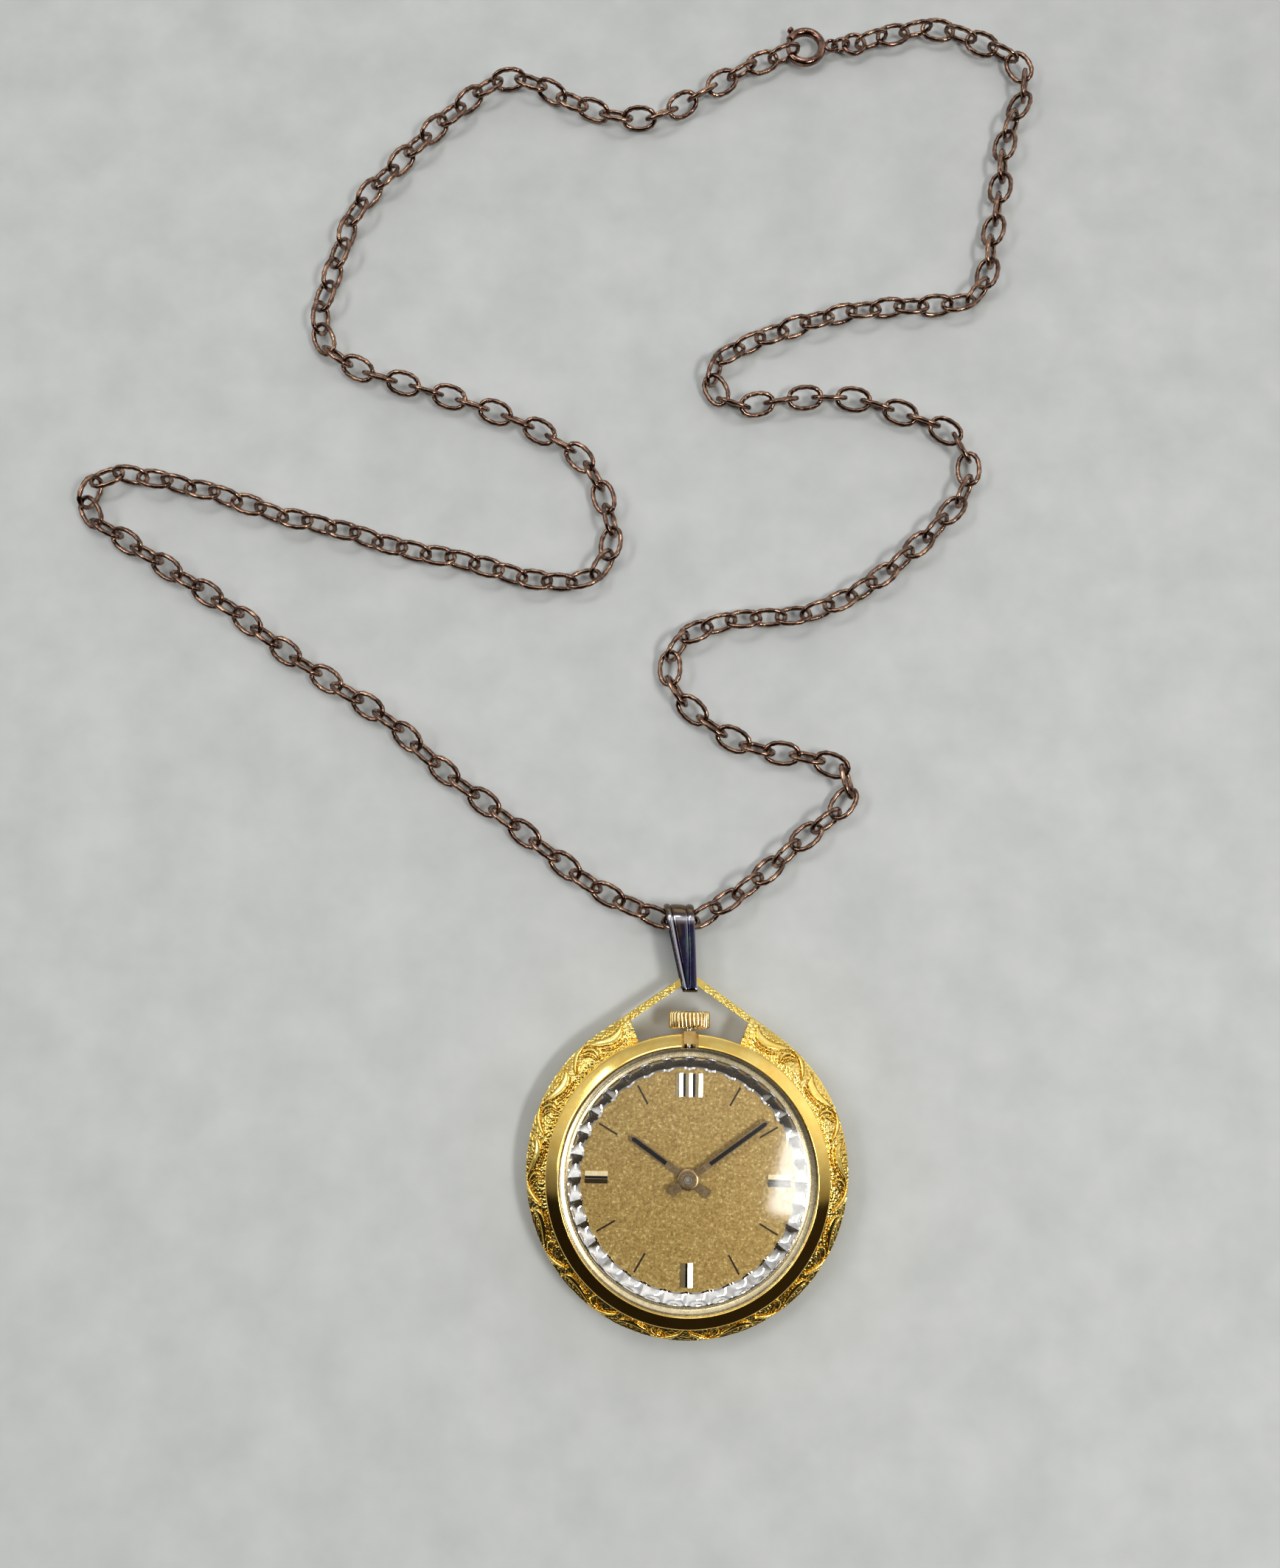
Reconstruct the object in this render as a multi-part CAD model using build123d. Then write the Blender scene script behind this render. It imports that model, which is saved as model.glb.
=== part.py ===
from build123d import *
import math
import os

# Pendant watch on a neck chain, in millimetres.
# Z = 0 is the table, the origin is the middle of the case back, +Y points to 12 o'clock.

# Fits and small gaps
fit = 0.03
air = 0.1
wall_gap = 0.05
overrun = 1.0

# Case
case_radius = 14.9
case_wall = 0.95
case_bottom = 0.9
flange_width = 0.5
flange_height = 1.1
back_thickness = 0.5
back_rim_width = 0.5
back_rim_height = 0.7
back_edge = 0.35
bezel_overhang = 0.6
bezel_height = 2.1
bezel_top_width = 0.55
bezel_bevel = 0.45
bezel_inner_fall = 0.4
bezel_slot_gap = 0.3

# Ornate frame round the case
frame_band = 2.9
frame_shift = 0.6
frame_point = 4.5
frame_edge = 0.9
frame_slope_width = 1.9
arm_width = 0.8
window_half_angle = 21.5

# Glass, rings and dial
dial_thickness = 0.4
dial_seat = 0.25
dial_rise = 0.6
dial_hole_radius = 0.8
rim_width = 0.85
rim_height = 0.7
reflector_facets = 32
reflector_seat = 0.65
reflector_scallop = 0.25
reflector_slope_width = 1.2
reflector_height = 0.7
glass_edge_height = 0.9
glass_thickness = 0.9
glass_rise = 1.8

# Applied markers, by their length along the radius, their width and their outer end
marker_height = 0.25
marker_margin = 0.25
marker_length = 2.5
marker_width = 1.3
twelve_bar_width = 0.85
twelve_bar_gap = 0.22

# Hands, whose lengths are shares of the markers' outer radius
hand_thickness = 0.15
hand_hub_radius = 1.1
hour_hand_height = 0.35
hour_hand_share = 0.7
hour_hand_width = 0.75
hour_tail = 2.7
minute_hand_height = 0.7
minute_hand_share = 0.964
minute_hand_width = 0.7
minute_tail = 2.4
tail_width = 1.15
hour_angle = 304.5
minute_angle = 54.0

# Crown, stem and stem tube
stem_drop = 0.3
stem_radius = 0.45
crown_rise = 0.25
crown_length = 1.95
crown_gap = 1.05
crown_flutes = 36
crown_flute_depth = 0.16
crown_wall = 1.2
crown_hollow_depth = 0.9
gasket_thickness = 0.3
tube_wall = 0.17
tube_sink = 0.55
tube_reach = 0.85
tube_rise = 0.9

# Movement's heights and small sizes
ring_width = 2.1
plate_thickness = 1.3
train_height = 1.5
motion_height = 0.4
bridge_thickness = 0.5
bridge_foot_width = 1.4
bridge_gap = 0.4
arbor_radius = 0.18
centre_arbor_radius = 0.3
centre_pivot_radius = 0.22
wheel_thickness = 0.16
pinion_length = 0.35
tooth_tip_share = 0.25
tooth_root_share = 0.35
barrel_rim = 0.4
fork_width = 0.3
balance_rim = 0.45
balance_bar = 0.5
balance_thickness = 0.25
roller_radius = 0.45
spring_turns = 3
spring_pitch = 0.5
spring_wire = 0.08
spring_start = 0.5
winding_pinion_radius = 0.8
winding_pinion_length = 0.7
clutch_length = 0.7
clutch_gap = 0.15
clutch_groove = 0.2
cannon_radius = 0.45
cannon_pinion_pitch = 0.5
hour_tube_radius = 0.62
motion_thickness = 0.14
screw_head_radius = 0.6
screw_head_height = 0.25
screw_room = 0.15
centre_boss = 1.3

# Movement's plan, in shares of the plate's radius
barrel_share = 0.388
centre_wheel_share = 0.2025
third_wheel_share = 0.19
fourth_wheel_share = 0.194
escape_wheel_share = 0.1266
fork_distance_share = 0.1688
fork_arm_share = 0.08
fork_lever_share = 0.1857
balance_distance_share = 0.232
balance_share = 0.2785
crown_wheel_place_share = 0.6414
crown_wheel_share = 0.152
ratchet_share = 0.2363
stem_end_share = 0.7004
winding_pinion_share = 0.7806

# Movement's tooth counts
barrel_teeth = 48
centre_pinion_teeth = 8
centre_wheel_teeth = 48
third_pinion_teeth = 6
third_wheel_teeth = 45
fourth_pinion_teeth = 6
fourth_wheel_teeth = 60
escape_pinion_teeth = 6
escape_teeth = 15
crown_wheel_teeth = 24
ratchet_teeth = 36
winding_pinion_teeth = 12
cannon_teeth = 10
minute_wheel_teeth = 30
minute_pinion_teeth = 8
hour_wheel_teeth = 32

# Movement's directions, in degrees from 3 o'clock
third_angle = 200.0
fourth_angle = 260.0
escape_angle = 330.0
fork_angle = 340.0
balance_angle = 10.0
minute_wheel_angle = 120.0
screw_angles = (22, 100, 142, 262, 310)
barrel_bridge_angles = (5, 118)
train_bridge_angles = (124, 276)
balance_cock_angles = (282, 338)

# Bail
bail_wall = 0.35
bail_hook = 2.3
bail_length = 9.98
bail_bottom_width = 1.65
bail_top_width = 3.45
bail_lean = 1.4
bail_rise = 0.25
bail_drop = 0.85
bail_fold_radius = 0.45
bail_groove_width = 0.14
bail_groove_depth = 0.12
bail_groove_share = 0.24

# Chain, whose links are sized in shares of their pitch
link_pitch = 3.02
link_wire_share = 0.172
link_width_share = 1.026
link_slack_share = 0.1
link_flat_share = 0.6
link_roll_angle = 45.0
roll_change_links = 9
lift_run = 14.0

# The chain's route to the clasp, seen from above and measured from the bail's loop
left_route = [
    (-10.3, 3.3), (-16.8, 7.9), (-23.2, 12.7), (-29.6, 17.4), (-35.6, 22.7), (-42.3, 27.0),
    (-49.0, 31.3), (-55.4, 36.1), (-62.2, 40.3), (-68.7, 44.4), (-72.6, 46.7), (-74.4, 49.7),
    (-73.0, 52.3), (-69.9, 53.1), (-66.1, 52.5),
    (-58.2, 50.7), (-50.7, 48.2), (-43.0, 46.5), (-35.4, 44.2), (-27.5, 42.8), (-19.8, 40.7), (-13.2, 40.7),
    (-10.4, 44.0), (-10.4, 48.4), (-13.4, 55.5), (-19.9, 59.9), (-27.2, 62.8), (-34.8, 65.1), (-42.3, 67.4),
    (-46.6, 70.7), (-47.2, 75.1), (-45.7, 81.3), (-43.5, 89.0), (-38.7, 95.3), (-33.4, 101.3),
    (-27.6, 106.7), (-24.3, 108.0), (-21.0, 106.9), (-14.3, 103.6), (-6.7, 102.5), (0.2, 106.4), (6.3, 110.3),
    (11.9, 112.74),
]
right_route = [
    (7.1, 4.6), (13.0, 10.0), (17.9, 14.1), (18.2, 17.7), (14.2, 19.5), (6.3, 20.8), (-0.3, 25.1),
    (-3.0, 29.3), (-1.5, 33.7), (4.9, 36.2), (12.8, 36.9), (20.0, 40.2), (26.2, 45.3), (31.6, 51.1),
    (33.4, 55.4), (31.6, 60.1), (26.5, 62.4), (19.0, 64.7), (11.1, 64.5), (6.2, 63.4), (2.9, 64.3),
    (1.5, 66.9), (2.6, 69.6),
    (5.8, 71.5), (11.1, 73.8),
    (18.7, 76.2), (26.5, 77.2), (33.0, 77.7), (36.0, 80.7), (36.6, 85.2), (38.0, 93.1), (39.0, 101.0),
    (41.2, 106.1), (41.3, 110.9), (37.0, 113.8), (30.4, 116.3), (25.6, 115.6), (20.4, 113.98),
]

# Clasp
clasp_place = (13.27, 113.38)
clasp_height = 1.27
clasp_ring_radius = 2.2
clasp_tube_radius = 0.52
clasp_bore_radius = 0.34
clasp_slider_radius = 0.3
clasp_gap_start_angle = 152.0
clasp_gap_end_angle = 212.0
clasp_slot_start_angle = 84.0
clasp_slot_end_angle = 146.0
clasp_slot_width = 0.36
clasp_knob_angle = 128.0
clasp_tail_angle = 96.0
clasp_travel_angle = 40.0
clasp_knob_radius = 0.42
clasp_knob_length = 0.55
clasp_end_angle = 5.0
clasp_seat_angle = 12.0
eye_radius = 0.72
eye_wire = 0.22
connector_radius = 1.0
connector_wire = 0.25
jump_radius = 1.35
jump_wire = 0.28
ring_play = 0.05

# Heights that the pieces share, from the case back up
bridge_bottom = back_thickness + screw_room + screw_head_height
bridge_top = bridge_bottom + bridge_thickness
ring_bottom = bridge_top + air
plate_bottom = bridge_top + train_height
plate_top = plate_bottom + plate_thickness
dial_bottom = plate_top + motion_height
dial_top = dial_bottom + dial_thickness
case_top = dial_bottom - dial_rise
frame_bottom = case_bottom + flange_height
frame_height = case_top - frame_bottom
glass_bottom = dial_bottom + rim_height
cannon_top = dial_top + minute_hand_height + hand_thickness + air
wheel_low = bridge_top + wall_gap + air
barrel_bottom = wheel_low + wheel_thickness + air
barrel_height = plate_bottom - air - barrel_bottom
third_level = wheel_low + 4 * wheel_thickness
fourth_level = wheel_low + 2 * wheel_thickness
arbor_top = plate_bottom - fit
balance_level = wheel_low + wall_gap
hairspring_level = balance_level + balance_thickness + air
stem_height = plate_bottom - stem_drop
bail_front = case_top + bail_rise
bail_lower_back = frame_bottom - bail_drop
bail_loop_radius = (bail_front - wall_gap) / 2
bail_link_height = bail_front - bail_loop_radius

# Radii and places that follow from the case
case_bore = case_radius - case_wall
bezel_radius = case_radius + bezel_overhang
bezel_bore = case_bore + wall_gap
glass_radius = case_bore - wall_gap
plate_radius = case_bore - ring_width
dial_radius = plate_radius + dial_seat
reflector_opening = dial_radius - reflector_seat
marker_outer = reflector_opening - marker_margin
hour_hand_length = hour_hand_share * marker_outer
minute_hand_length = minute_hand_share * marker_outer
frame_radius = case_radius + frame_band
frame_apex = frame_radius + frame_point
tube_width = 2 * (stem_radius + fit + tube_wall)
tube_bottom = stem_height - tube_width / 2
tube_top = case_top + tube_rise
tube_inner_end = case_radius - tube_sink
tube_outer_end = case_radius + tube_reach
bezel_slot_width = tube_width + 2 * bezel_slot_gap
crown_start = case_radius + crown_gap
crown_radius = stem_height - crown_rise
crown_hollow_radius = crown_radius - crown_wall
keyless_slot_width = 2 * (winding_pinion_radius + 2 * air)
bail_bottom = frame_apex - bail_hook
bail_top = bail_bottom + bail_length
bail_loop_place = bail_top - bail_loop_radius

# Lengths of the movement's plan
barrel_radius = barrel_share * plate_radius
centre_wheel_radius = centre_wheel_share * plate_radius
third_wheel_radius = third_wheel_share * plate_radius
fourth_wheel_radius = fourth_wheel_share * plate_radius
escape_wheel_radius = escape_wheel_share * plate_radius
fork_distance = fork_distance_share * plate_radius
fork_arm = fork_arm_share * plate_radius
fork_lever = fork_lever_share * plate_radius
balance_distance = balance_distance_share * plate_radius
balance_radius = balance_share * plate_radius
crown_wheel_place = crown_wheel_place_share * plate_radius
crown_wheel_radius = crown_wheel_share * plate_radius
ratchet_radius = ratchet_share * plate_radius
stem_inner_end = stem_end_share * plate_radius
winding_pinion_start = winding_pinion_share * plate_radius
clutch_start = winding_pinion_start - clutch_gap - clutch_length

# Sizes of the chain's links and of the clasp's end
link_wire = link_wire_share * link_pitch
link_width = link_width_share * link_pitch
link_slack = link_slack_share * link_pitch
eye_distance = clasp_ring_radius + clasp_tube_radius + eye_radius
connector_distance = eye_distance + eye_radius - eye_wire - connector_wire - ring_play + connector_radius
jump_distance = connector_distance + connector_radius - connector_wire - jump_wire - ring_play + jump_radius
full_turn = 2 * math.pi
whole_circle = 360


def polar(radius, degrees, start=(0, 0)):
    angle = math.radians(degrees)
    return (start[0] + radius * math.cos(angle), start[1] + radius * math.sin(angle))


def disc(radius, bottom, top, place=(0, 0)):
    return Pos(place[0], place[1], bottom) * extrude(Circle(radius), top - bottom)


def hoop(radius, bore, bottom, top, place=(0, 0)):
    return Pos(place[0], place[1], bottom) * extrude(Circle(radius) - Circle(bore), top - bottom)


def block(x_size, y_start, y_end, bottom, top):
    return Pos(0, (y_start + y_end) / 2, (bottom + top) / 2) * Box(x_size, y_end - y_start, top - bottom)


def turned(points):
    """A closed profile of (radius, height) points, turned about Z."""
    return revolve(Plane.XZ * make_face(Polyline(*points, close=True)), Axis.Z)


def star(count, tip, root, turn=0):
    """A closed outline with one pointed tooth per step, whose first tip points at the angle given."""
    step = whole_circle / count
    points = []
    for index in range(count):
        points.append(polar(tip, turn + index * step))
        points.append(polar(root, turn + index * step + step / 2))
    return make_face(Polyline(*points, close=True))


def toothed(count, pitch_radius, bottom, height, place=(0, 0), turn=0):
    pitch = full_turn * pitch_radius / count
    tip = pitch_radius + tooth_tip_share * pitch
    root = pitch_radius - tooth_root_share * pitch
    outline = star(count, tip, root, turn)
    return Pos(place[0], place[1], bottom) * extrude(outline, height)


def direction(start, end):
    return math.degrees(math.atan2(end[1] - start[1], end[0] - start[0]))


def meshing_turn(count, start, end):
    """The turn that puts a gap between two teeth on the line from start to end."""
    return direction(start, end) + 180 / count


# Places of the movement's arbors
def meeting_place(first, first_distance, second, second_distance):
    """The corner of a triangle on two known corners, on the right of the line between them."""
    span = math.dist(first, second)
    along = (first_distance ** 2 - second_distance ** 2 + span ** 2) / (2 * span)
    across = math.sqrt(first_distance ** 2 - along ** 2)
    x_share = (second[0] - first[0]) / span
    y_share = (second[1] - first[1]) / span
    return (first[0] + along * x_share + across * y_share, first[1] + along * y_share - across * x_share)


centre_place = (0, 0)
centre_pinion_radius = barrel_radius * centre_pinion_teeth / barrel_teeth
third_pinion_radius = centre_wheel_radius * third_pinion_teeth / centre_wheel_teeth
fourth_pinion_radius = third_wheel_radius * fourth_pinion_teeth / third_wheel_teeth
escape_pinion_radius = fourth_wheel_radius * escape_pinion_teeth / fourth_wheel_teeth
crown_wheel_centre = (0, crown_wheel_place)
barrel_place = meeting_place(
    centre_place, barrel_radius + centre_pinion_radius,
    crown_wheel_centre, crown_wheel_radius + ratchet_radius,
)
third_place = polar(centre_wheel_radius + third_pinion_radius, third_angle)
fourth_place = polar(third_wheel_radius + fourth_pinion_radius, fourth_angle, third_place)
escape_place = polar(fourth_wheel_radius + escape_pinion_radius, escape_angle, fourth_place)
fork_place = polar(fork_distance, fork_angle, escape_place)
balance_place = polar(balance_distance, balance_angle, fork_place)
minute_wheel_radius = cannon_pinion_pitch * minute_wheel_teeth / cannon_teeth
motion_distance = cannon_pinion_pitch + minute_wheel_radius
minute_pinion_radius = motion_distance * minute_pinion_teeth / (minute_pinion_teeth + hour_wheel_teeth)
hour_wheel_radius = motion_distance - minute_pinion_radius
minute_wheel_place = polar(motion_distance, minute_wheel_angle)


# Case
def make_case_back():
    rim = case_bore - fit
    profile = [
        (0, 0),
        (case_radius - back_edge, 0),
        (case_radius, back_edge),
        (case_radius, case_bottom),
        (rim, case_bottom),
        (rim, case_bottom + back_rim_height),
        (rim - back_rim_width, case_bottom + back_rim_height),
        (rim - back_rim_width, back_thickness),
        (0, back_thickness),
    ]
    return turned(profile)


def stem_bore(radius, start, end):
    """A round bar along Y at the stem's height."""
    return Pos(0, end, stem_height) * Rot(90, 0, 0) * extrude(Circle(radius), end - start)


def make_case_body():
    flange = case_radius + flange_width
    profile = [
        (case_bore, case_bottom),
        (flange, case_bottom),
        (flange, frame_bottom),
        (case_radius, frame_bottom),
        (case_radius, case_top),
        (case_bore, case_top),
    ]
    slot = block(tube_width + 2 * fit, case_bore - overrun, flange + overrun, tube_bottom, case_top + overrun)
    return turned(profile) - slot


def make_bezel():
    top = case_top + bezel_height
    profile = [
        (bezel_bore, case_top),
        (bezel_radius, case_top),
        (bezel_radius, top - bezel_bevel),
        (bezel_bore + bezel_inner_fall + bezel_top_width, top),
        (bezel_bore + bezel_inner_fall, top),
        (bezel_bore, top - bezel_inner_fall),
    ]
    inner_end = bezel_bore - overrun
    outer_end = bezel_radius + overrun
    return turned(profile) - block(bezel_slot_width, inner_end, outer_end, case_top - overrun, top + overrun)


def teardrop(inset, height):
    """The frame's outline: an arc closed by two lines that touch it and meet at the apex."""
    radius = frame_radius - inset
    reach = frame_apex - frame_shift
    apex = reach - inset * reach / frame_radius
    touch = math.degrees(math.asin(radius / apex))
    right = polar(radius, touch, (0, frame_shift))
    left = polar(radius, 180 - touch, (0, frame_shift))
    bottom = (0, frame_shift - radius)
    tip = (0, frame_shift + apex)
    lines = Curve() + [ThreePointArc(left, bottom, right), Line(right, tip), Line(tip, left)]
    return Pos(0, 0, height) * make_face(lines)


def make_ornate_frame():
    edge_top = frame_bottom + frame_edge
    plate = extrude(teardrop(0, frame_bottom), frame_edge)
    crest = loft([teardrop(0, edge_top), teardrop(frame_slope_width, case_top)], ruled=True)
    bore = disc(case_radius + fit, frame_bottom - overrun, case_top + overrun)
    sector = make_face(
        Polyline(
            (0, 0),
            polar(frame_apex * 2, 90 - window_half_angle),
            polar(frame_apex * 2, 90 + window_half_angle),
            close=True,
        )
    )
    opening = teardrop(arm_width, 0) & sector
    window = Pos(0, 0, frame_bottom - overrun) * extrude(opening, frame_height + 2 * overrun)
    return plate + crest - bore - window


def make_stem_tube():
    body = block(tube_width, tube_inner_end, tube_outer_end, tube_bottom, tube_top)
    return body - stem_bore(stem_radius + fit, tube_inner_end - overrun, tube_outer_end + overrun)


# Glass and rings
def make_crystal():
    edge_top = glass_bottom + glass_edge_height
    crest = edge_top + glass_rise
    inside = glass_radius - rim_width
    outer = make_face(
        Curve()
        + [
            Line((0, glass_bottom), (glass_radius, glass_bottom)),
            Line((glass_radius, glass_bottom), (glass_radius, edge_top)),
            RadiusArc((glass_radius, edge_top), (0, crest), -dome_radius(glass_radius, glass_rise)),
            Line((0, crest), (0, glass_bottom)),
        ]
    )
    inner_crest = crest - glass_thickness
    inner_edge = edge_top - glass_thickness / 2
    inner = make_face(
        Curve()
        + [
            Line((0, glass_bottom - overrun), (inside, glass_bottom - overrun)),
            Line((inside, glass_bottom - overrun), (inside, inner_edge)),
            RadiusArc((inside, inner_edge), (0, inner_crest), -dome_radius(inside, inner_crest - inner_edge)),
            Line((0, inner_crest), (0, glass_bottom - overrun)),
        ]
    )
    return revolve(Plane.XZ * (outer - inner), Axis.Z)


def dome_radius(half_width, rise):
    return (half_width ** 2 + rise ** 2) / (2 * rise)


def make_rim_ring():
    return hoop(glass_radius, glass_radius - rim_width, dial_bottom, glass_bottom)


def make_reflector():
    outer = glass_radius - rim_width - wall_gap
    ring = disc(outer, dial_top, dial_top + reflector_height)
    count = reflector_facets
    low = star(count, reflector_opening + reflector_scallop, reflector_opening)
    grow = 1 + reflector_slope_width / reflector_opening
    high = star(count, (reflector_opening + reflector_scallop) * grow, reflector_opening * grow)
    high = Pos(0, 0, dial_top + reflector_height) * high
    throat = loft([Pos(0, 0, dial_top) * low, high], ruled=True)
    return ring - throat


# Dial, markers and hands
def make_dial():
    return hoop(dial_radius, dial_hole_radius, dial_bottom, dial_top)


def bar(width, inner, outer, bottom, height, degrees, shift=0):
    shape = Pos(shift, (inner + outer) / 2, bottom + height / 2) * Box(width, outer - inner, height)
    return Rot(0, 0, -degrees) * shape


def make_markers():
    inner = marker_outer - marker_length
    step = twelve_bar_width + twelve_bar_gap
    bars = []
    for index in (-1, 0, 1):
        bars.append(bar(twelve_bar_width, inner, marker_outer, dial_top, marker_height, 0, index * step))
    for degrees in (90, 180, 270):
        bars.append(bar(marker_width, inner, marker_outer, dial_top, marker_height, degrees))
    return Compound(children=bars)


def make_hand(length, width, tail, height, degrees, hole):
    bottom = dial_top + height
    blade = make_face(
        Polyline(
            (-width / 2, 0),
            (-width / 2, length - width / 2),
            (0, length),
            (width / 2, length - width / 2),
            (width / 2, 0),
            (tail_width / 2, -tail),
            (-tail_width / 2, -tail),
            close=True,
        )
    )
    outline = blade + Circle(hand_hub_radius) - Circle(hole)
    return Rot(0, 0, -degrees) * (Pos(0, 0, bottom) * extrude(outline, hand_thickness))


# Crown and stem
def make_crown():
    end = crown_start + crown_length
    outline = star(crown_flutes, crown_radius, crown_radius - crown_flute_depth)
    body = Pos(0, end, stem_height) * Rot(90, 0, 0) * extrude(outline, crown_length)
    hollow = stem_bore(crown_hollow_radius, crown_start - overrun, crown_start + crown_hollow_depth)
    seat = stem_bore(stem_radius + fit, crown_start, end - crown_length / 4)
    return body - hollow - seat


def make_stem():
    return stem_bore(stem_radius, stem_inner_end, crown_start + crown_length * 3 / 4)


def make_gasket():
    end = crown_start + crown_hollow_depth - fit
    ring = stem_bore(crown_hollow_radius - fit, end - gasket_thickness, end)
    return ring - stem_bore(stem_radius + fit, end - gasket_thickness - overrun, end + overrun)


# Movement
def keyless_slot(bottom, top):
    return block(keyless_slot_width, stem_inner_end - air, case_bore, bottom, top)


def make_movement_ring():
    inner = plate_radius + fit
    ring = hoop(case_bore - wall_gap, inner, ring_bottom, dial_bottom)
    rim = case_bore - fit - back_rim_width - wall_gap
    step = hoop(case_bore + overrun, rim, ring_bottom - overrun, case_bottom + back_rim_height + wall_gap)
    slot = keyless_slot(ring_bottom - overrun, tube_top) + block(
        keyless_slot_width, case_bore - overrun, case_bore + overrun, ring_bottom - overrun, tube_top
    )
    return ring - step - slot


def make_main_plate():
    plate = disc(plate_radius, plate_bottom, plate_top)
    plate -= keyless_slot(plate_bottom - overrun, plate_top + overrun)
    plate -= disc(centre_arbor_radius + fit, plate_bottom - overrun, plate_top + overrun)
    plate += disc(arbor_radius, plate_top, dial_bottom - fit, minute_wheel_place)
    return plate


def bridge(sector_ends, holes):
    """A bridge over one sector of the movement, whose foot stands on the plate's rim."""
    reach = plate_radius * 2
    start_degrees, end_degrees = sector_ends
    middle = (start_degrees + end_degrees) / 2
    sector = make_face(
        Polyline(
            (0, 0), polar(reach, start_degrees), polar(reach, middle), polar(reach, end_degrees), close=True
        )
    )
    plan = Circle(plate_radius - fit) & sector
    foot = plan - Circle(plate_radius - bridge_foot_width)
    shape = Pos(0, 0, bridge_bottom) * extrude(plan, bridge_thickness)
    shape += Pos(0, 0, bridge_bottom) * extrude(foot, plate_bottom - bridge_bottom)
    for place, radius in holes:
        shape -= disc(radius + fit, bridge_bottom - overrun, bridge_top + overrun, place)
    return shape


def make_barrel_bridge():
    holes = [(barrel_place, centre_arbor_radius), (crown_wheel_centre, arbor_radius)]
    shape = bridge(barrel_bridge_angles, holes)
    shape -= disc(centre_boss + bridge_gap, bridge_bottom - overrun, plate_top)
    return shape - keyless_slot(stem_height - winding_pinion_radius - air, plate_bottom + overrun)


def make_train_bridge():
    holes = [(third_place, arbor_radius), (fourth_place, arbor_radius), (escape_place, arbor_radius)]
    shape = bridge(train_bridge_angles, holes) + disc(centre_boss, bridge_bottom, bridge_top)
    return shape - disc(centre_pivot_radius + fit, bridge_bottom - overrun, bridge_top + overrun)


def make_balance_cock():
    shape = bridge(balance_cock_angles, [(balance_place, arbor_radius)])
    return shape - disc(centre_boss + bridge_gap, bridge_bottom - overrun, plate_bottom - fit)


def make_barrel():
    top = barrel_bottom + barrel_height
    drum = disc(barrel_radius - barrel_rim, barrel_bottom, top, barrel_place)
    rim_bottom = top - pinion_length
    turn = direction(barrel_place, centre_place)
    rim = toothed(barrel_teeth, barrel_radius, rim_bottom, pinion_length, barrel_place, turn)
    bore = disc(centre_arbor_radius + fit, barrel_bottom - overrun, top + overrun, barrel_place)
    return drum + rim - bore


def make_ratchet_wheel():
    turn = direction(barrel_place, crown_wheel_centre)
    wheel = toothed(ratchet_teeth, ratchet_radius, wheel_low, wheel_thickness, barrel_place, turn)
    return wheel + disc(centre_arbor_radius, bridge_bottom, arbor_top, barrel_place)


def make_crown_wheel():
    turn = meshing_turn(crown_wheel_teeth, crown_wheel_centre, barrel_place)
    place = crown_wheel_centre
    wheel = toothed(crown_wheel_teeth, crown_wheel_radius, wheel_low, wheel_thickness, place, turn)
    return wheel + disc(arbor_radius, bridge_bottom, wheel_low + wheel_thickness, place)


def make_centre_wheel():
    turn = direction(centre_place, third_place)
    radius = centre_wheel_radius
    wheel = toothed(centre_wheel_teeth, radius, wheel_low, wheel_thickness, centre_place, turn)
    pinion_turn = meshing_turn(centre_pinion_teeth, centre_place, barrel_place)
    pinion_bottom = barrel_bottom + barrel_height - pinion_length
    pinion = toothed(
        centre_pinion_teeth, centre_pinion_radius, pinion_bottom, pinion_length, centre_place, pinion_turn
    )
    arbor = disc(centre_arbor_radius, bridge_top + fit, plate_bottom + plate_thickness / 2, centre_place)
    pivot = disc(centre_pivot_radius, bridge_bottom, cannon_top - hand_thickness, centre_place)
    return wheel + pinion + arbor + pivot


def train_wheel(place, teeth, radius, level, leaves, pinion_radius, pinion_level, driver, driven):
    """An arbor with a wheel, which drives the next arbor, and a pinion, which the last wheel drives."""
    turn = direction(place, driven)
    shape = toothed(teeth, radius, level, wheel_thickness, place, turn)
    pinion_turn = meshing_turn(leaves, place, driver)
    bottom = pinion_level - (pinion_length - wheel_thickness) / 2
    shape += toothed(leaves, pinion_radius, bottom, pinion_length, place, pinion_turn)
    return shape + disc(arbor_radius, bridge_bottom, arbor_top, place)


def make_third_wheel():
    return train_wheel(
        third_place, third_wheel_teeth, third_wheel_radius, third_level,
        third_pinion_teeth, third_pinion_radius, wheel_low, centre_place, fourth_place,
    )


def make_fourth_wheel():
    return train_wheel(
        fourth_place, fourth_wheel_teeth, fourth_wheel_radius, fourth_level,
        fourth_pinion_teeth, fourth_pinion_radius, third_level, third_place, escape_place,
    )


def make_escape_wheel():
    outline = star(escape_teeth, escape_wheel_radius, escape_wheel_radius * 3 / 4)
    wheel = Pos(escape_place[0], escape_place[1], third_level) * extrude(outline, wheel_thickness)
    pinion_turn = meshing_turn(escape_pinion_teeth, escape_place, fourth_place)
    bottom = fourth_level - (pinion_length - wheel_thickness) / 2
    radius = escape_pinion_radius
    pinion = toothed(escape_pinion_teeth, radius, bottom, pinion_length, escape_place, pinion_turn)
    arbor = disc(arbor_radius * 3 / 4, bridge_bottom, arbor_top, escape_place)
    return wheel + pinion + arbor


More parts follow.
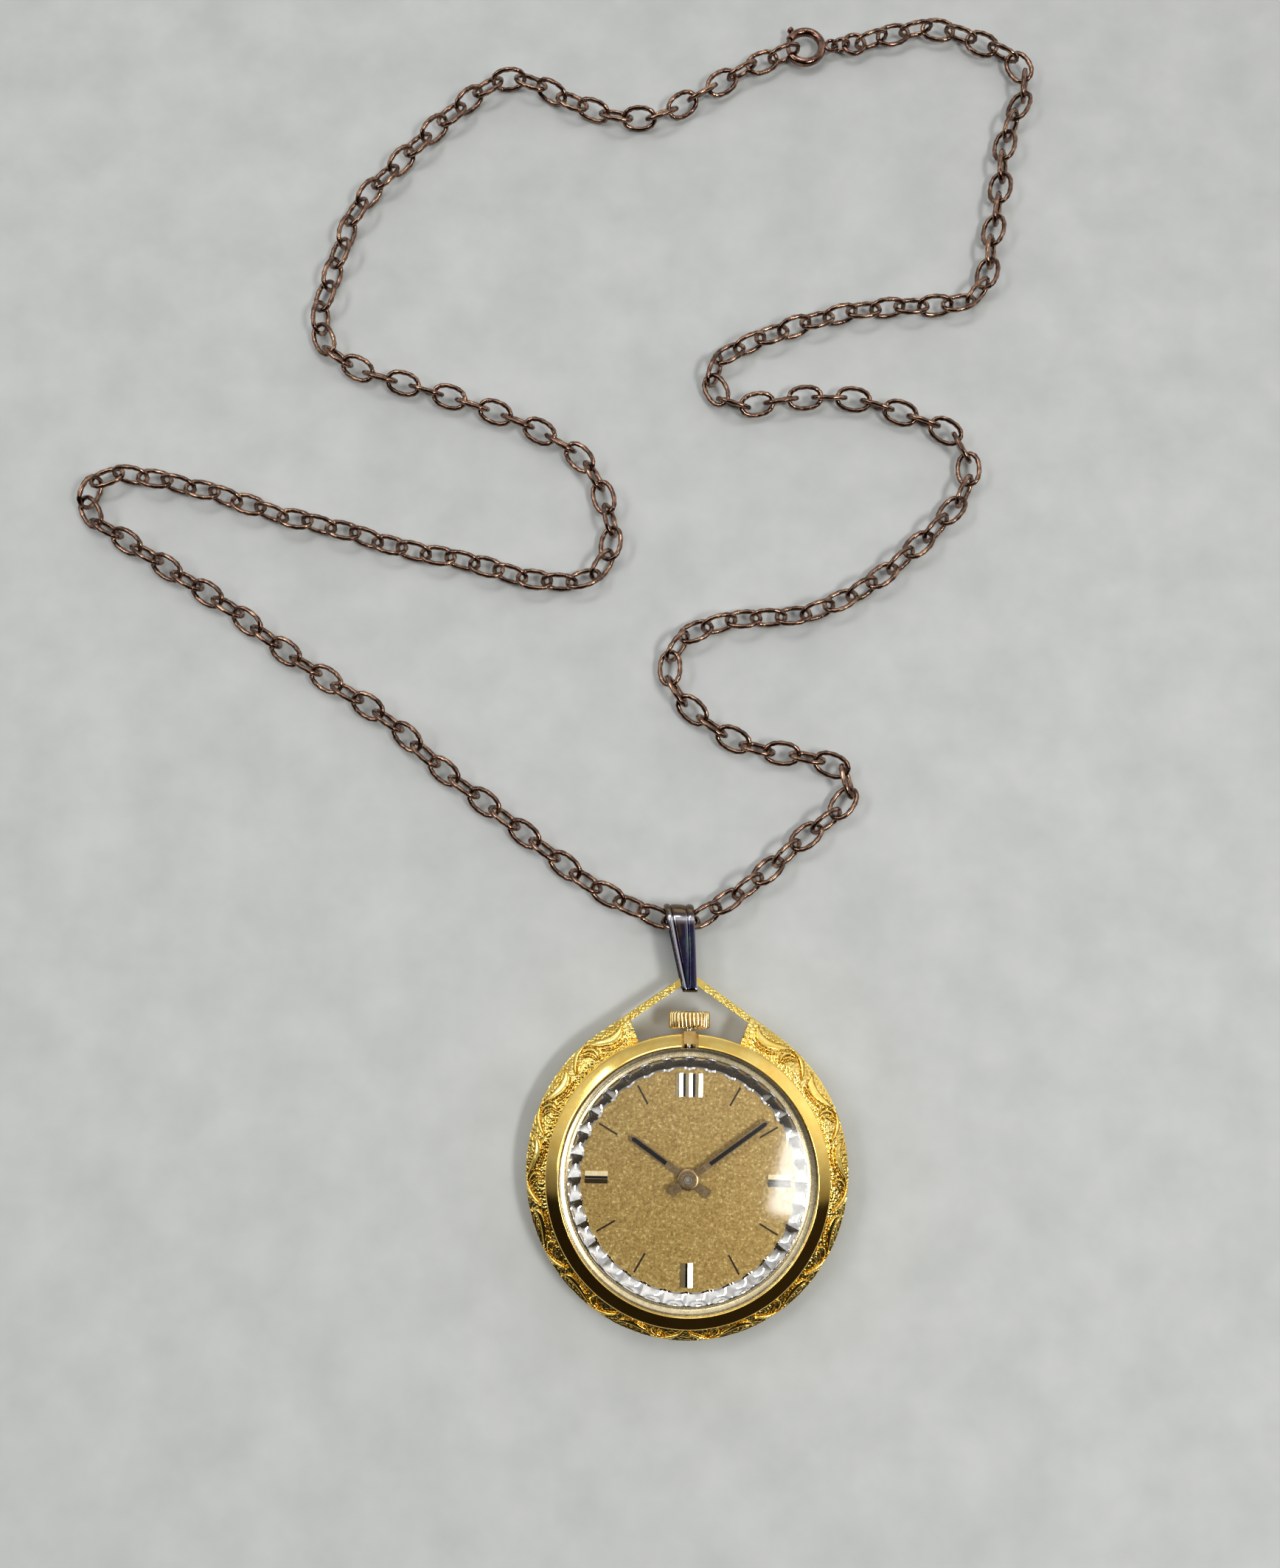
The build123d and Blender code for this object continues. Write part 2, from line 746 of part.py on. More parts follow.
def make_fork():
    lever = Pos(fork_lever / 2, 0) * Rectangle(fork_lever, fork_width)
    arms = Rectangle(fork_width, 2 * fork_arm)
    outline = lever + arms - Pos(fork_lever, 0) * Rectangle(fork_width, fork_width / 2)
    flat = Rot(0, 0, direction(fork_place, balance_place)) * extrude(outline, wheel_thickness)
    body = Pos(fork_place[0], fork_place[1], third_level) * flat
    return body + disc(arbor_radius, third_level, arbor_top, fork_place)


def make_balance():
    rim = Circle(balance_radius) - Circle(balance_radius - balance_rim)
    arms = Rectangle(2 * balance_radius - balance_rim, balance_bar)
    wheel = Pos(balance_place[0], balance_place[1], balance_level) * extrude(rim + arms, balance_thickness)
    staff = disc(arbor_radius, bridge_bottom, arbor_top, balance_place)
    roller = disc(roller_radius, third_level, third_level + wheel_thickness, balance_place)
    return wheel + staff + roller


def make_hairspring():
    """A flat spiral of half turns, each a little wider than the last."""
    arcs = []
    radius = spring_start
    start = (radius, 0)
    for index in range(2 * spring_turns):
        side = 1 if index % 2 == 0 else -1
        span = 2 * radius + spring_pitch / 2
        end = (start[0] - side * span, 0)
        middle = ((start[0] + end[0]) / 2, side * span / 2)
        arcs.append(ThreePointArc(start, middle, end))
        start = end
        radius += spring_pitch / 2
    path = Wire(arcs)
    section = Plane(origin=path @ 0, z_dir=path % 0) * Rectangle(spring_wire, spring_wire)
    print("hairspring, least gap between turns:", round(spring_pitch - spring_wire, 3))
    spring = sweep(section, path=path)
    return Pos(balance_place[0], balance_place[1], hairspring_level) * spring


# Motion works and keyless works
def make_cannon_pinion():
    tube = disc(cannon_radius, plate_top + fit, cannon_top, centre_place)
    turn = direction(centre_place, minute_wheel_place)
    leaves = toothed(cannon_teeth, cannon_pinion_pitch, plate_top + fit, motion_thickness, centre_place, turn)
    bore = disc(centre_pivot_radius + fit, plate_top - overrun, cannon_top + overrun)
    return tube + leaves - bore


def make_minute_wheel():
    bottom = plate_top + fit
    turn = meshing_turn(minute_wheel_teeth, minute_wheel_place, centre_place)
    place = minute_wheel_place
    wheel = toothed(minute_wheel_teeth, minute_wheel_radius, bottom, motion_thickness, place, turn)
    pinion_turn = direction(place, centre_place)
    level = bottom + motion_thickness
    pinion = toothed(minute_pinion_teeth, minute_pinion_radius, level, motion_thickness, place, pinion_turn)
    bore = disc(arbor_radius + fit, plate_top, dial_bottom, place)
    return wheel + pinion - bore


def make_hour_wheel():
    bottom = plate_top + 2 * fit + motion_thickness
    turn = meshing_turn(hour_wheel_teeth, centre_place, minute_wheel_place)
    wheel = toothed(hour_wheel_teeth, hour_wheel_radius, bottom, motion_thickness, centre_place, turn)
    tube = disc(hour_tube_radius, bottom, dial_top + hour_hand_height + hand_thickness, centre_place)
    bore = disc(cannon_radius + fit, plate_top, cannon_top + overrun, centre_place)
    return wheel + tube - bore


def stem_wheel(start, length, teeth, radius, tooth_depth):
    outline = star(teeth, radius, radius - tooth_depth) - Circle(stem_radius + fit)
    return Pos(0, start + length, stem_height) * Rot(90, 0, 0) * extrude(outline, length)


def make_winding_pinion():
    radius = winding_pinion_radius
    return stem_wheel(winding_pinion_start, winding_pinion_length, winding_pinion_teeth, radius, radius / 6)


def make_clutch():
    radius = winding_pinion_radius
    shape = stem_wheel(clutch_start, clutch_length, winding_pinion_teeth, radius, radius / 8)
    middle = clutch_start + clutch_length / 2
    ring = stem_bore(radius + overrun, middle - clutch_groove / 2, middle + clutch_groove / 2)
    return shape - (ring - stem_bore(radius * 3 / 4, middle - clutch_groove, middle + clutch_groove))


def screw(place):
    return disc(screw_head_radius, bridge_bottom - screw_head_height, bridge_bottom, place)


def make_screws():
    reach = plate_radius - bridge_foot_width / 2
    places = [polar(reach, degrees) for degrees in screw_angles]
    return Compound(children=[screw(place) for place in places])


# Bail
def bail_loop(inset):
    """The bail's outline seen from its side, as (Y, Z) points, drawn in by the inset."""
    loop_y = bail_loop_place
    loop_z = bail_link_height
    corners = [
        (bail_bottom + inset, bail_lower_back + inset),
        (bail_bottom + inset, bail_front - inset),
        (loop_y, bail_front - inset),
        (loop_y, bail_front - 2 * bail_loop_radius + inset),
    ]
    strap = make_face(Polyline(*corners, close=True))
    strap = fillet(strap.vertices().sort_by(Axis.X)[:2], bail_fold_radius - inset)
    return strap + Pos(loop_y, loop_z) * Circle(bail_loop_radius - inset)


def bail_edge(share, height):
    """The point at a share of the bail's width, at a height along Y."""
    along = (height - bail_bottom) / (bail_top - bail_bottom)
    width = bail_bottom_width + (bail_top_width - bail_bottom_width) * along
    return (-bail_lean * along + (share - 1 / 2) * width, height)


def make_bail():
    low = bail_bottom - overrun
    high = bail_top + overrun
    ring = bail_loop(0) - bail_loop(bail_wall)
    side = extrude(Plane.YZ.offset(-bail_top_width * 2) * ring, bail_top_width * 4)
    plan = make_face(
        Polyline(bail_edge(0, low), bail_edge(1, low), bail_edge(1, high), bail_edge(0, high), close=True)
    )
    shape = side & (Pos(0, 0, -overrun) * extrude(plan, bail_front + 2 * overrun))
    for share in (bail_groove_share, 1 - bail_groove_share):
        foot = bail_edge(share, low)
        head = bail_edge(share, high)
        groove = make_face(
            Polyline(
                (foot[0] - bail_groove_width / 2, foot[1]), (foot[0] + bail_groove_width / 2, foot[1]),
                (head[0] + bail_groove_width / 2, head[1]), (head[0] - bail_groove_width / 2, head[1]),
                close=True,
            )
        )
        shape -= Pos(0, 0, bail_front - bail_groove_depth) * extrude(groove, overrun)
    return shape


# Chain
def smooth_route(points, parts=12):
    """Points along a curve that passes through every point of the route."""
    padded = [points[0]] + points + [points[-1]]
    curve = []
    for before, start, end, after in zip(padded, padded[1:], padded[2:], padded[3:]):
        for index in range(parts):
            t = index / parts
            place = []
            for axis in (0, 1):
                linear = end[axis] - before[axis]
                square = 2 * before[axis] - 5 * start[axis] + 4 * end[axis] - after[axis]
                cube = 3 * start[axis] - before[axis] - 3 * end[axis] + after[axis]
                place.append(start[axis] + (linear * t + square * t ** 2 + cube * t ** 3) / 2)
            curve.append(tuple(place))
    curve.append(points[-1])
    return curve


def joints_along(curve, pitch):
    """Evenly spaced places along a curve, as near to the pitch as whole links allow."""
    lengths = [0]
    for start, end in zip(curve, curve[1:]):
        lengths.append(lengths[-1] + math.dist(start, end))
    count = round(lengths[-1] / pitch)
    spacing = lengths[-1] / count
    places = []
    segment = 0
    for index in range(count + 1):
        target = min(index * spacing, lengths[-1])
        while segment < len(lengths) - 2 and lengths[segment + 1] < target:
            segment += 1
        share = (target - lengths[segment]) / (lengths[segment + 1] - lengths[segment])
        start = curve[segment]
        end = curve[segment + 1]
        places.append((start[0] + share * (end[0] - start[0]), start[1] + share * (end[1] - start[1])))
    print("chain branch of", count, "links, spaced", round(spacing, 3))
    return places


def ring_face(half_length, half_width, flat_share):
    flat = half_length * flat_share
    return make_face(
        Polyline(
            (-half_length, 0), (-flat, half_width), (flat, half_width),
            (half_length, 0), (flat, -half_width), (-flat, -half_width),
            close=True,
        )
    )


def make_link_shape():
    """One link with its hole, lying flat, with its length along X."""
    half_length = (link_pitch + link_slack) / 2 + link_wire
    outer = ring_face(half_length, link_width / 2, link_flat_share)
    inner = ring_face(half_length - link_wire, link_width / 2 - link_wire, link_flat_share)
    return extrude(outer - inner, link_wire / 2, both=True)


def from_loop(place):
    return (place[0], place[1] + bail_loop_place)


def rest_height(roll):
    """The height of a link's middle over the table at its roll about its own length."""
    angle = math.radians(roll)
    return link_width / 2 * abs(math.sin(angle)) + link_wire / 2 * abs(math.cos(angle)) + fit


def place_link(start, end, start_height, end_height, roll):
    middle = ((start[0] + end[0]) / 2, (start[1] + end[1]) / 2, (start_height + end_height) / 2)
    middle = (middle[0], middle[1], max(middle[2], rest_height(roll)))
    along = Vector(end[0] - start[0], end[1] - start[1], end_height - start_height).normalized()
    side = Vector(-along.Y, along.X, 0).normalized()
    up = along.cross(side)
    angle = math.radians(roll)
    normal = up * math.cos(angle) + side * math.sin(angle)
    return Plane(origin=middle, x_dir=along, z_dir=normal).location


def bail_link_end(side):
    """Where the link in the bail takes the branch on its left, side -1, or right, side 1."""
    return (bail_edge(1 / 2, bail_loop_place)[0] + side * link_pitch / 2, 0)


def make_branch(first_side, route):
    """A row of links from the bail on, rolled to each side in turn, whose last one stands on edge."""
    start = bail_link_end(-first_side)
    places = [from_loop(place) for place in joints_along(smooth_route([start] + route), link_pitch)]
    last = len(places) - 2
    shape = make_link_shape()
    links = []
    low = rest_height(link_roll_angle)
    for index in range(last + 1):
        side = first_side * (-1) ** index
        last_side = first_side * (-1) ** last
        change = last_side * link_roll_angle * max(0, 1 - (last - index) / roll_change_links)
        roll = side * link_roll_angle + change
        heights = []
        for joint in (index, index + 1):
            lift = max(0, 1 - joint * link_pitch / lift_run)
            heights.append(low + (bail_link_height - low) * lift)
        location = place_link(places[index], places[index + 1], heights[0], heights[1], roll)
        links.append(location * shape)
    return Compound(children=links)


def make_bail_link():
    ends = [from_loop(bail_link_end(side)) for side in (-1, 1)]
    return place_link(*ends, bail_link_height, bail_link_height, link_roll_angle) * make_link_shape()


# Clasp
def torus_part(ring_radius, wire_radius, sides, start_degrees, end_degrees, height=0):
    """A bent round bar, with a section of flat sides, from one angle to another about Z."""
    section = Pos(ring_radius, height) * RegularPolygon(wire_radius, sides, rotation=180 / sides)
    bar_shape = revolve(Plane.XZ * section, Axis.Z, end_degrees - start_degrees)
    return Rot(0, 0, start_degrees) * bar_shape


def at_clasp(shape):
    return Pos(*from_loop(clasp_place), clasp_height) * shape


def make_clasp_ring():
    ring = clasp_ring_radius
    seat_end = clasp_gap_end_angle + 2 * clasp_seat_angle
    bore_start = clasp_tail_angle - clasp_travel_angle
    tube = torus_part(ring, clasp_tube_radius, 8, clasp_gap_end_angle, clasp_gap_start_angle + whole_circle)
    bore = torus_part(ring, clasp_bore_radius, 8, clasp_gap_end_angle, seat_end)
    bore += torus_part(ring, clasp_bore_radius, 8, bore_start, clasp_gap_start_angle)
    slot_radius = ring + clasp_tube_radius
    slot = torus_part(slot_radius, clasp_slot_width, 4, clasp_slot_start_angle, clasp_slot_end_angle)
    eye_place = polar(eye_distance, clasp_end_angle)
    eye = Pos(eye_place[0], eye_place[1]) * torus_part(eye_radius, eye_wire, 6, 0, whole_circle)
    core = torus_part(ring, clasp_bore_radius, 8, 0, whole_circle)
    return at_clasp(tube - bore - slot + (eye - core))


def make_clasp_slider():
    tip_angle = clasp_gap_end_angle + clasp_seat_angle / 2
    wire = torus_part(clasp_ring_radius, clasp_slider_radius, 8, clasp_tail_angle, tip_angle)
    neck_place = polar(clasp_ring_radius, clasp_knob_angle)
    knob = Rot(0, 90, 0) * extrude(RegularPolygon(clasp_knob_radius, 8), clasp_knob_length)
    neck = Rot(0, 90, 0) * extrude(
        RegularPolygon(clasp_slot_width / 2, 6), clasp_tube_radius + clasp_knob_length
    )
    thumb = neck + Pos(clasp_tube_radius + wall_gap, 0, 0) * knob
    placed = Pos(neck_place[0], neck_place[1]) * Rot(0, 0, clasp_knob_angle) * thumb
    return at_clasp(wire + placed)


def make_connector_ring():
    place = polar(connector_distance, clasp_end_angle)
    ring = torus_part(connector_radius, connector_wire, 6, 0, whole_circle)
    return at_clasp(Pos(place[0], place[1]) * Rot(0, 0, clasp_end_angle) * Rot(90, 0, 0) * ring)


def make_jump_ring():
    place = polar(jump_distance, clasp_end_angle)
    return at_clasp(Pos(place[0], place[1]) * torus_part(jump_radius, jump_wire, 6, 0, whole_circle))


os.makedirs("parts", exist_ok=True)

parts = {
    "case_back": make_case_back(),
    "case_body": make_case_body(),
    "bezel": make_bezel(),
    "ornate_frame": make_ornate_frame(),
    "stem_tube": make_stem_tube(),
    "crystal": make_crystal(),
    "rim_ring": make_rim_ring(),
    "reflector_ring": make_reflector(),
    "dial": make_dial(),
    "hour_markers": make_markers(),
    "hour_hand": make_hand(
        hour_hand_length, hour_hand_width, hour_tail,
        hour_hand_height, hour_angle, hour_tube_radius + fit,
    ),
    "minute_hand": make_hand(
        minute_hand_length, minute_hand_width, minute_tail,
        minute_hand_height, minute_angle, cannon_radius + fit,
    ),
    "crown": make_crown(),
    "winding_stem": make_stem(),
    "crown_gasket": make_gasket(),
    "movement_ring": make_movement_ring(),
    "main_plate": make_main_plate(),
    "barrel_bridge": make_barrel_bridge(),
    "train_bridge": make_train_bridge(),
    "balance_cock": make_balance_cock(),
    "bridge_screws": make_screws(),
    "barrel": make_barrel(),
    "ratchet_wheel": make_ratchet_wheel(),
    "crown_wheel": make_crown_wheel(),
    "centre_wheel": make_centre_wheel(),
    "third_wheel": make_third_wheel(),
    "fourth_wheel": make_fourth_wheel(),
    "escape_wheel": make_escape_wheel(),
    "pallet_fork": make_fork(),
    "balance_wheel": make_balance(),
    "hairspring": make_hairspring(),
    "cannon_pinion": make_cannon_pinion(),
    "minute_wheel": make_minute_wheel(),
    "hour_wheel": make_hour_wheel(),
    "winding_pinion": make_winding_pinion(),
    "clutch_wheel": make_clutch(),
    "bail": make_bail(),
    "bail_link": make_bail_link(),
    "chain_left": make_branch(1, left_route),
    "chain_right": make_branch(-1, right_route),
    "clasp_ring": make_clasp_ring(),
    "clasp_slider": make_clasp_slider(),
    "clasp_connector": make_connector_ring(),
    "jump_ring": make_jump_ring(),
}

for name, shape in parts.items():
    export_step(shape, f"parts/{name}.step")
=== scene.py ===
import math
import random

import bpy
import bmesh
import numpy as np
from mathutils import Matrix, Vector


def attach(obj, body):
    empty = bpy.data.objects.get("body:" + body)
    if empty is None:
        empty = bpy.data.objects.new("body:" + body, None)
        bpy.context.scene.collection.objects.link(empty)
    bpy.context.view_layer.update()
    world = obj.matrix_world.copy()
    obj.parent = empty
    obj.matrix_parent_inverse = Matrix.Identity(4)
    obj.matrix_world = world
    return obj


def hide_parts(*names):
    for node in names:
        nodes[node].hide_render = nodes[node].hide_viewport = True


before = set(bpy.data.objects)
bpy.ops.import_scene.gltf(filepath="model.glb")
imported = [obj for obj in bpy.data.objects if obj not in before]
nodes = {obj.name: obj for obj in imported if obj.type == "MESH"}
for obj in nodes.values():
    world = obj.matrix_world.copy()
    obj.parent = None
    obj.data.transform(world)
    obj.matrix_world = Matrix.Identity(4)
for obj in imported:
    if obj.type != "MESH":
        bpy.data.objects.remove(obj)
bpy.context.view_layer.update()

# Sizes and places are in millimetres
MM = 0.001
scene = bpy.context.scene

# Camera: the photograph's height and focal length in pixels, and its place and angle over the watch
PHOTO_HEIGHT = 2127
FOCAL_PIXELS = 1648
SENSOR = 36.0
NEAR_CLIP = 1.0
CAMERA_PLACE = (-5.65, 21.63, 142.16)
CAMERA_RIGHT = (0.9998, 0.0209, 0.0)
CAMERA_UP = (-0.0207, 0.9875, 0.1564)

# Case sizes, close to the part's own
CASE_TOP = 4.0
BEZEL_BORE = 14.0
BEZEL_RADIUS = 15.5
BEZEL_TOP = 6.1
BEZEL_SLOT = 1.9
DIAL_BOTTOM = 4.6
DIAL_TOP = 5.0
DIAL_RADIUS = 12.1
DIAL_HOLE = 0.8
GLASS_RADIUS = 13.9
GLASS_BORE = 13.05
GLASS_FOOT = 5.3
STEM_HEIGHT = 2.6

# Noise of the finest marks on metal: scale, detail and roughness
FINE_MARKS = (9.0, 6.0, 0.7)


# Materials
def shader(name, color, metallic, roughness):
    """A Principled material, its node tree and its shader."""
    material = bpy.data.materials.new(name)
    material.use_nodes = True
    tree = material.node_tree
    bsdf = tree.nodes["Principled BSDF"]
    bsdf.inputs["Base Color"].default_value = (*color, 1)
    bsdf.inputs["Metallic"].default_value = metallic
    bsdf.inputs["Roughness"].default_value = roughness
    return material, tree, bsdf


def link(output, socket):
    socket.id_data.links.new(output, socket)


def texture_place(tree, scale=(1, 1, 1)):
    """Object coordinates in millimetres, stretched by the scale."""
    coordinates = tree.nodes.new("ShaderNodeTexCoord")
    mapping = tree.nodes.new("ShaderNodeMapping")
    mapping.inputs["Scale"].default_value = [value / MM for value in scale]
    link(coordinates.outputs["Object"], mapping.inputs["Vector"])
    return mapping.outputs["Vector"]


def noise_of(tree, place, scale, detail=4.0, roughness=0.6):
    node = tree.nodes.new("ShaderNodeTexNoise")
    node.inputs["Scale"].default_value = scale
    node.inputs["Detail"].default_value = detail
    node.inputs["Roughness"].default_value = roughness
    link(place, node.inputs["Vector"])
    return node.outputs["Fac"]


def ramp_of(tree, value, stops):
    """A colour ramp of (position, colour or grey) stops."""
    node = tree.nodes.new("ShaderNodeValToRGB")
    elements = node.color_ramp.elements
    while len(elements) < len(stops):
        elements.new(0.5)
    for element, (position, color) in zip(elements, stops):
        element.position = position
        element.color = (*color, 1) if isinstance(color, tuple) else (color, color, color, 1)
    link(value, node.inputs["Fac"])
    return node.outputs["Color"]


def bump_of(tree, bsdf, height, distance, strength=1.0):
    node = tree.nodes.new("ShaderNodeBump")
    node.inputs["Strength"].default_value = strength
    node.inputs["Distance"].default_value = distance * MM
    link(height, node.inputs["Height"])
    link(node.outputs["Normal"], bsdf.inputs["Normal"])


def tint(tree, bsdf, value, stops):
    """Colours the shader by a ramp of the value."""
    link(ramp_of(tree, value, stops), bsdf.inputs["Base Color"])


def wear(tree, bsdf, value, stops, depth):
    """Roughens the shader by a ramp of the value, and dents its surface."""
    link(ramp_of(tree, value, stops), bsdf.inputs["Roughness"])
    bump_of(tree, bsdf, value, depth)


def scaled_sum(tree, value, factor, added):
    """The value times the factor, plus the added one."""
    node = tree.nodes.new("ShaderNodeMath")
    node.operation = "MULTIPLY_ADD"
    link(value, node.inputs[0])
    node.inputs[1].default_value = factor
    node.inputs[2].default_value = added
    return node.outputs[0]


def marks_of(tree, name):
    """The marks that the mesh carries under the name."""
    marks = tree.nodes.new("ShaderNodeAttribute")
    marks.attribute_name = name
    return marks.outputs["Fac"]


def mixed(tree, marks, color, other):
    """The color, turned into the other where the marks are."""
    mix = tree.nodes.new("ShaderNodeMix")
    mix.data_type = "RGBA"
    link(marks, mix.inputs["Factor"])
    link(color, mix.inputs["A"])
    mix.inputs["B"].default_value = (*other, 1)
    return mix.outputs["Result"]


def worn_metal(name, dark, light, rough, grain, bump, stretch=(1, 1, 1)):
    """Metal whose colour drifts between two tones, with fine marks in its gloss and surface."""
    material, tree, bsdf = shader(name, light, 1.0, rough[0])
    place = texture_place(tree, stretch)
    tint(tree, bsdf, noise_of(tree, place, grain), [(0.35, dark), (0.65, light)])
    fine = noise_of(tree, place, *FINE_MARKS)
    wear(tree, bsdf, fine, [(0.3, rough[0]), (0.75, rough[1])], bump)
    return material


def engraved_metal(name, dark, light, patina, rough):
    """Gold with dirt in the hollows of its engraving, which the mesh's own heights mark."""
    material, tree, bsdf = shader(name, light, 1.0, rough[0])
    place = texture_place(tree)
    tone = ramp_of(tree, noise_of(tree, place, 0.8), [(0.35, dark), (0.65, light)])
    marks = marks_of(tree, "hollow")
    link(mixed(tree, marks, tone, patina), bsdf.inputs["Base Color"])
    link(ramp_of(tree, marks, [(0.1, rough[0]), (0.8, rough[1])]), bsdf.inputs["Roughness"])
    bump_of(tree, bsdf, noise_of(tree, place, *FINE_MARKS), 0.006)
    return material


def paint(name, color, roughness):
    """A painted or printed surface with a fine uneven gloss."""
    material, tree, bsdf = shader(name, color, 0.0, roughness)
    bsdf.inputs["Specular IOR Level"].default_value = 0.15
    fine = noise_of(tree, texture_place(tree), 20.0)
    wear(tree, bsdf, fine, [(0.3, roughness * 0.7), (0.7, min(1, roughness * 1.4))], 0.002)
    return material


def dial_metal():
    """Champagne lacquer over metal, with a fine sparkling grain."""
    material, tree, bsdf = shader("dial_grain", (0.42, 0.29, 0.11), 0.55, 0.4)
    place = texture_place(tree)
    grains = tree.nodes.new("ShaderNodeTexVoronoi")
    grains.inputs["Scale"].default_value = 5.0
    link(place, grains.inputs["Vector"])
    tint(tree, bsdf, noise_of(tree, place, 3.7, 2.0, 0.75), [
        (0.3, (0.25, 0.154, 0.04)), (0.48, (0.42, 0.277, 0.085)), (0.6, (0.5, 0.352, 0.12)),
        (0.75, (0.98, 0.8, 0.4)),
    ])
    gloss = ramp_of(tree, grains.outputs["Distance"], [(0.1, 0.28), (0.6, 0.5)])
    link(gloss, bsdf.inputs["Roughness"])
    bump_of(tree, bsdf, grains.outputs["Color"], 0.03, 0.9)
    return material


def glass():
    """Clear acrylic that doesn't refract and shines on the faces that a ray meets from outside."""
    material = bpy.data.materials.new("crystal_clear")
    material.use_nodes = True
    tree = material.node_tree
    tree.nodes.clear()
    out = tree.nodes.new("ShaderNodeOutputMaterial")
    clear = tree.nodes.new("ShaderNodeBsdfTransparent")
    clear.inputs["Color"].default_value = (0.985, 0.985, 0.975, 1)
    shine = tree.nodes.new("ShaderNodeBsdfGlossy")
    fine = noise_of(tree, texture_place(tree), 3.0, 6.0, 0.7)
    link(ramp_of(tree, fine, [(0.35, 0.09), (0.8, 0.15)]), shine.inputs["Roughness"])
    fresnel = tree.nodes.new("ShaderNodeFresnel")
    fresnel.inputs["IOR"].default_value = 1.49
    side = tree.nodes.new("ShaderNodeNewGeometry")
    outside = tree.nodes.new("ShaderNodeMath")
    outside.operation = "SUBTRACT"
    outside.use_clamp = True
    link(fresnel.outputs[0], outside.inputs[0])
    link(side.outputs["Backfacing"], outside.inputs[1])
    mix = tree.nodes.new("ShaderNodeMixShader")
    link(outside.outputs[0], mix.inputs[0])
    link(clear.outputs[0], mix.inputs[1])
    link(shine.outputs[0], mix.inputs[2])
    link(mix.outputs[0], out.inputs[0])
    return material


def bail_metal():
    """Dark steel turned purple, navy and teal, brown at its ends, and lightened to pale grey as a painted
    highlight where the mesh marks it.
    """
    material, tree, bsdf = shader("bail_blued", (0.1, 0.07, 0.12), 1.0, 0.2)
    tone = noise_of(tree, texture_place(tree, (1, 0.5, 1)), 0.6, 3.0)
    blued = ramp_of(tree, tone, [
        (0.3, (0.09, 0.065, 0.05)), (0.44, (0.035, 0.024, 0.03)), (0.54, (0.025, 0.02, 0.06)),
        (0.64, (0.03, 0.048, 0.07)), (0.74, (0.09, 0.08, 0.07)),
    ])
    browned = mixed(tree, marks_of(tree, "ends"), blued, (0.15, 0.105, 0.065))
    # Painted highlight: the base colour turns pale grey along the marked ridge lines and band
    painted_highlight = mixed(tree, marks_of(tree, "painted_highlight"), browned, (0.7, 0.69, 0.74))
    link(painted_highlight, bsdf.inputs["Base Color"])
    fine = noise_of(tree, texture_place(tree, (6, 1, 6)), 3.0, 5.0)
    wear(tree, bsdf, fine, [(0.3, 0.05), (0.75, 0.14)], 0.004)
    return material


def chain_metal(name, dark, middle, light, rough):
    """Tarnished copper: brown, dark in places and worn pink in others."""
    material, tree, bsdf = shader(name, middle, 1.0, rough[0])
    place = texture_place(tree)
    tone = noise_of(tree, place, 0.9, 5.0, 0.65)
    tint(tree, bsdf, tone, [(0.28, (0.17, 0.115, 0.045)), (0.38, dark), (0.52, middle), (0.72, light)])
    wear(tree, bsdf, noise_of(tree, place, 6.0, 4.0), [(0.3, rough[0]), (0.7, rough[1])], 0.012)
    return material


def floor_cloth():
    material, tree, bsdf = shader("pale_floor", (0.72, 0.73, 0.72), 0.0, 0.9)
    tone = noise_of(tree, texture_place(tree), 0.12, 3.0)
    tint(tree, bsdf, tone, [(0.3, (0.46, 0.475, 0.465)), (0.7, (0.53, 0.545, 0.535))])
    return material


GOLD = worn_metal("gold_polished", (0.92, 0.6, 0.14), (1.0, 0.74, 0.22), (0.05, 0.13), 0.5, 0.002)
FRAME_GOLD = engraved_metal(
    "gold_engraved", (0.93, 0.65, 0.14), (1.0, 0.8, 0.26), (0.36, 0.18, 0.025), (0.12, 0.34)
)
PALE_GOLD = worn_metal("gold_pale", (0.86, 0.7, 0.4), (0.98, 0.86, 0.58), (0.08, 0.2), 2.0, 0.002)
RIM_GOLD = worn_metal("gold_rim", (0.62, 0.52, 0.33), (0.8, 0.7, 0.47), (0.2, 0.36), 2.0, 0.003)
CROWN_GOLD = engraved_metal(
    "gold_crown", (0.86, 0.64, 0.28), (1.0, 0.82, 0.42), (0.2, 0.09, 0.02), (0.14, 0.3)
)
CASE_GOLD = worn_metal("gold_case", (0.78, 0.5, 0.16), (0.95, 0.68, 0.28), (0.14, 0.3), 0.6, 0.006)
BACK_STEEL = worn_metal(
    "steel_back", (0.5, 0.49, 0.47), (0.66, 0.65, 0.62), (0.18, 0.4), 0.4, 0.006, (8, 0.4, 1)
)
CHROME = worn_metal("chrome_cut", (0.86, 0.86, 0.88), (0.97, 0.97, 0.98), (0.02, 0.07), 2.0, 0.001)
BRONZE = worn_metal("hand_bronze", (0.3, 0.205, 0.11), (0.46, 0.33, 0.18), (0.2, 0.36), 2.0, 0.002)
BLACK = paint("black_inlay", (0.006, 0.005, 0.005), 0.3)
PRINT = paint("black_print", (0.03, 0.02, 0.015), 0.6)
RUBBER = paint("gasket_rubber", (0.02, 0.02, 0.02), 0.7)
BRASS = worn_metal("movement_brass", (0.62, 0.44, 0.2), (0.8, 0.6, 0.3), (0.2, 0.36), 1.5, 0.004, (4, 0.5, 4))
STEEL = worn_metal(
    "movement_steel", (0.42, 0.43, 0.45), (0.66, 0.67, 0.7), (0.12, 0.28), 2.0, 0.003, (4, 0.5, 4)
)
DIAL = dial_metal()
CLEAR = glass()
BAIL = bail_metal()
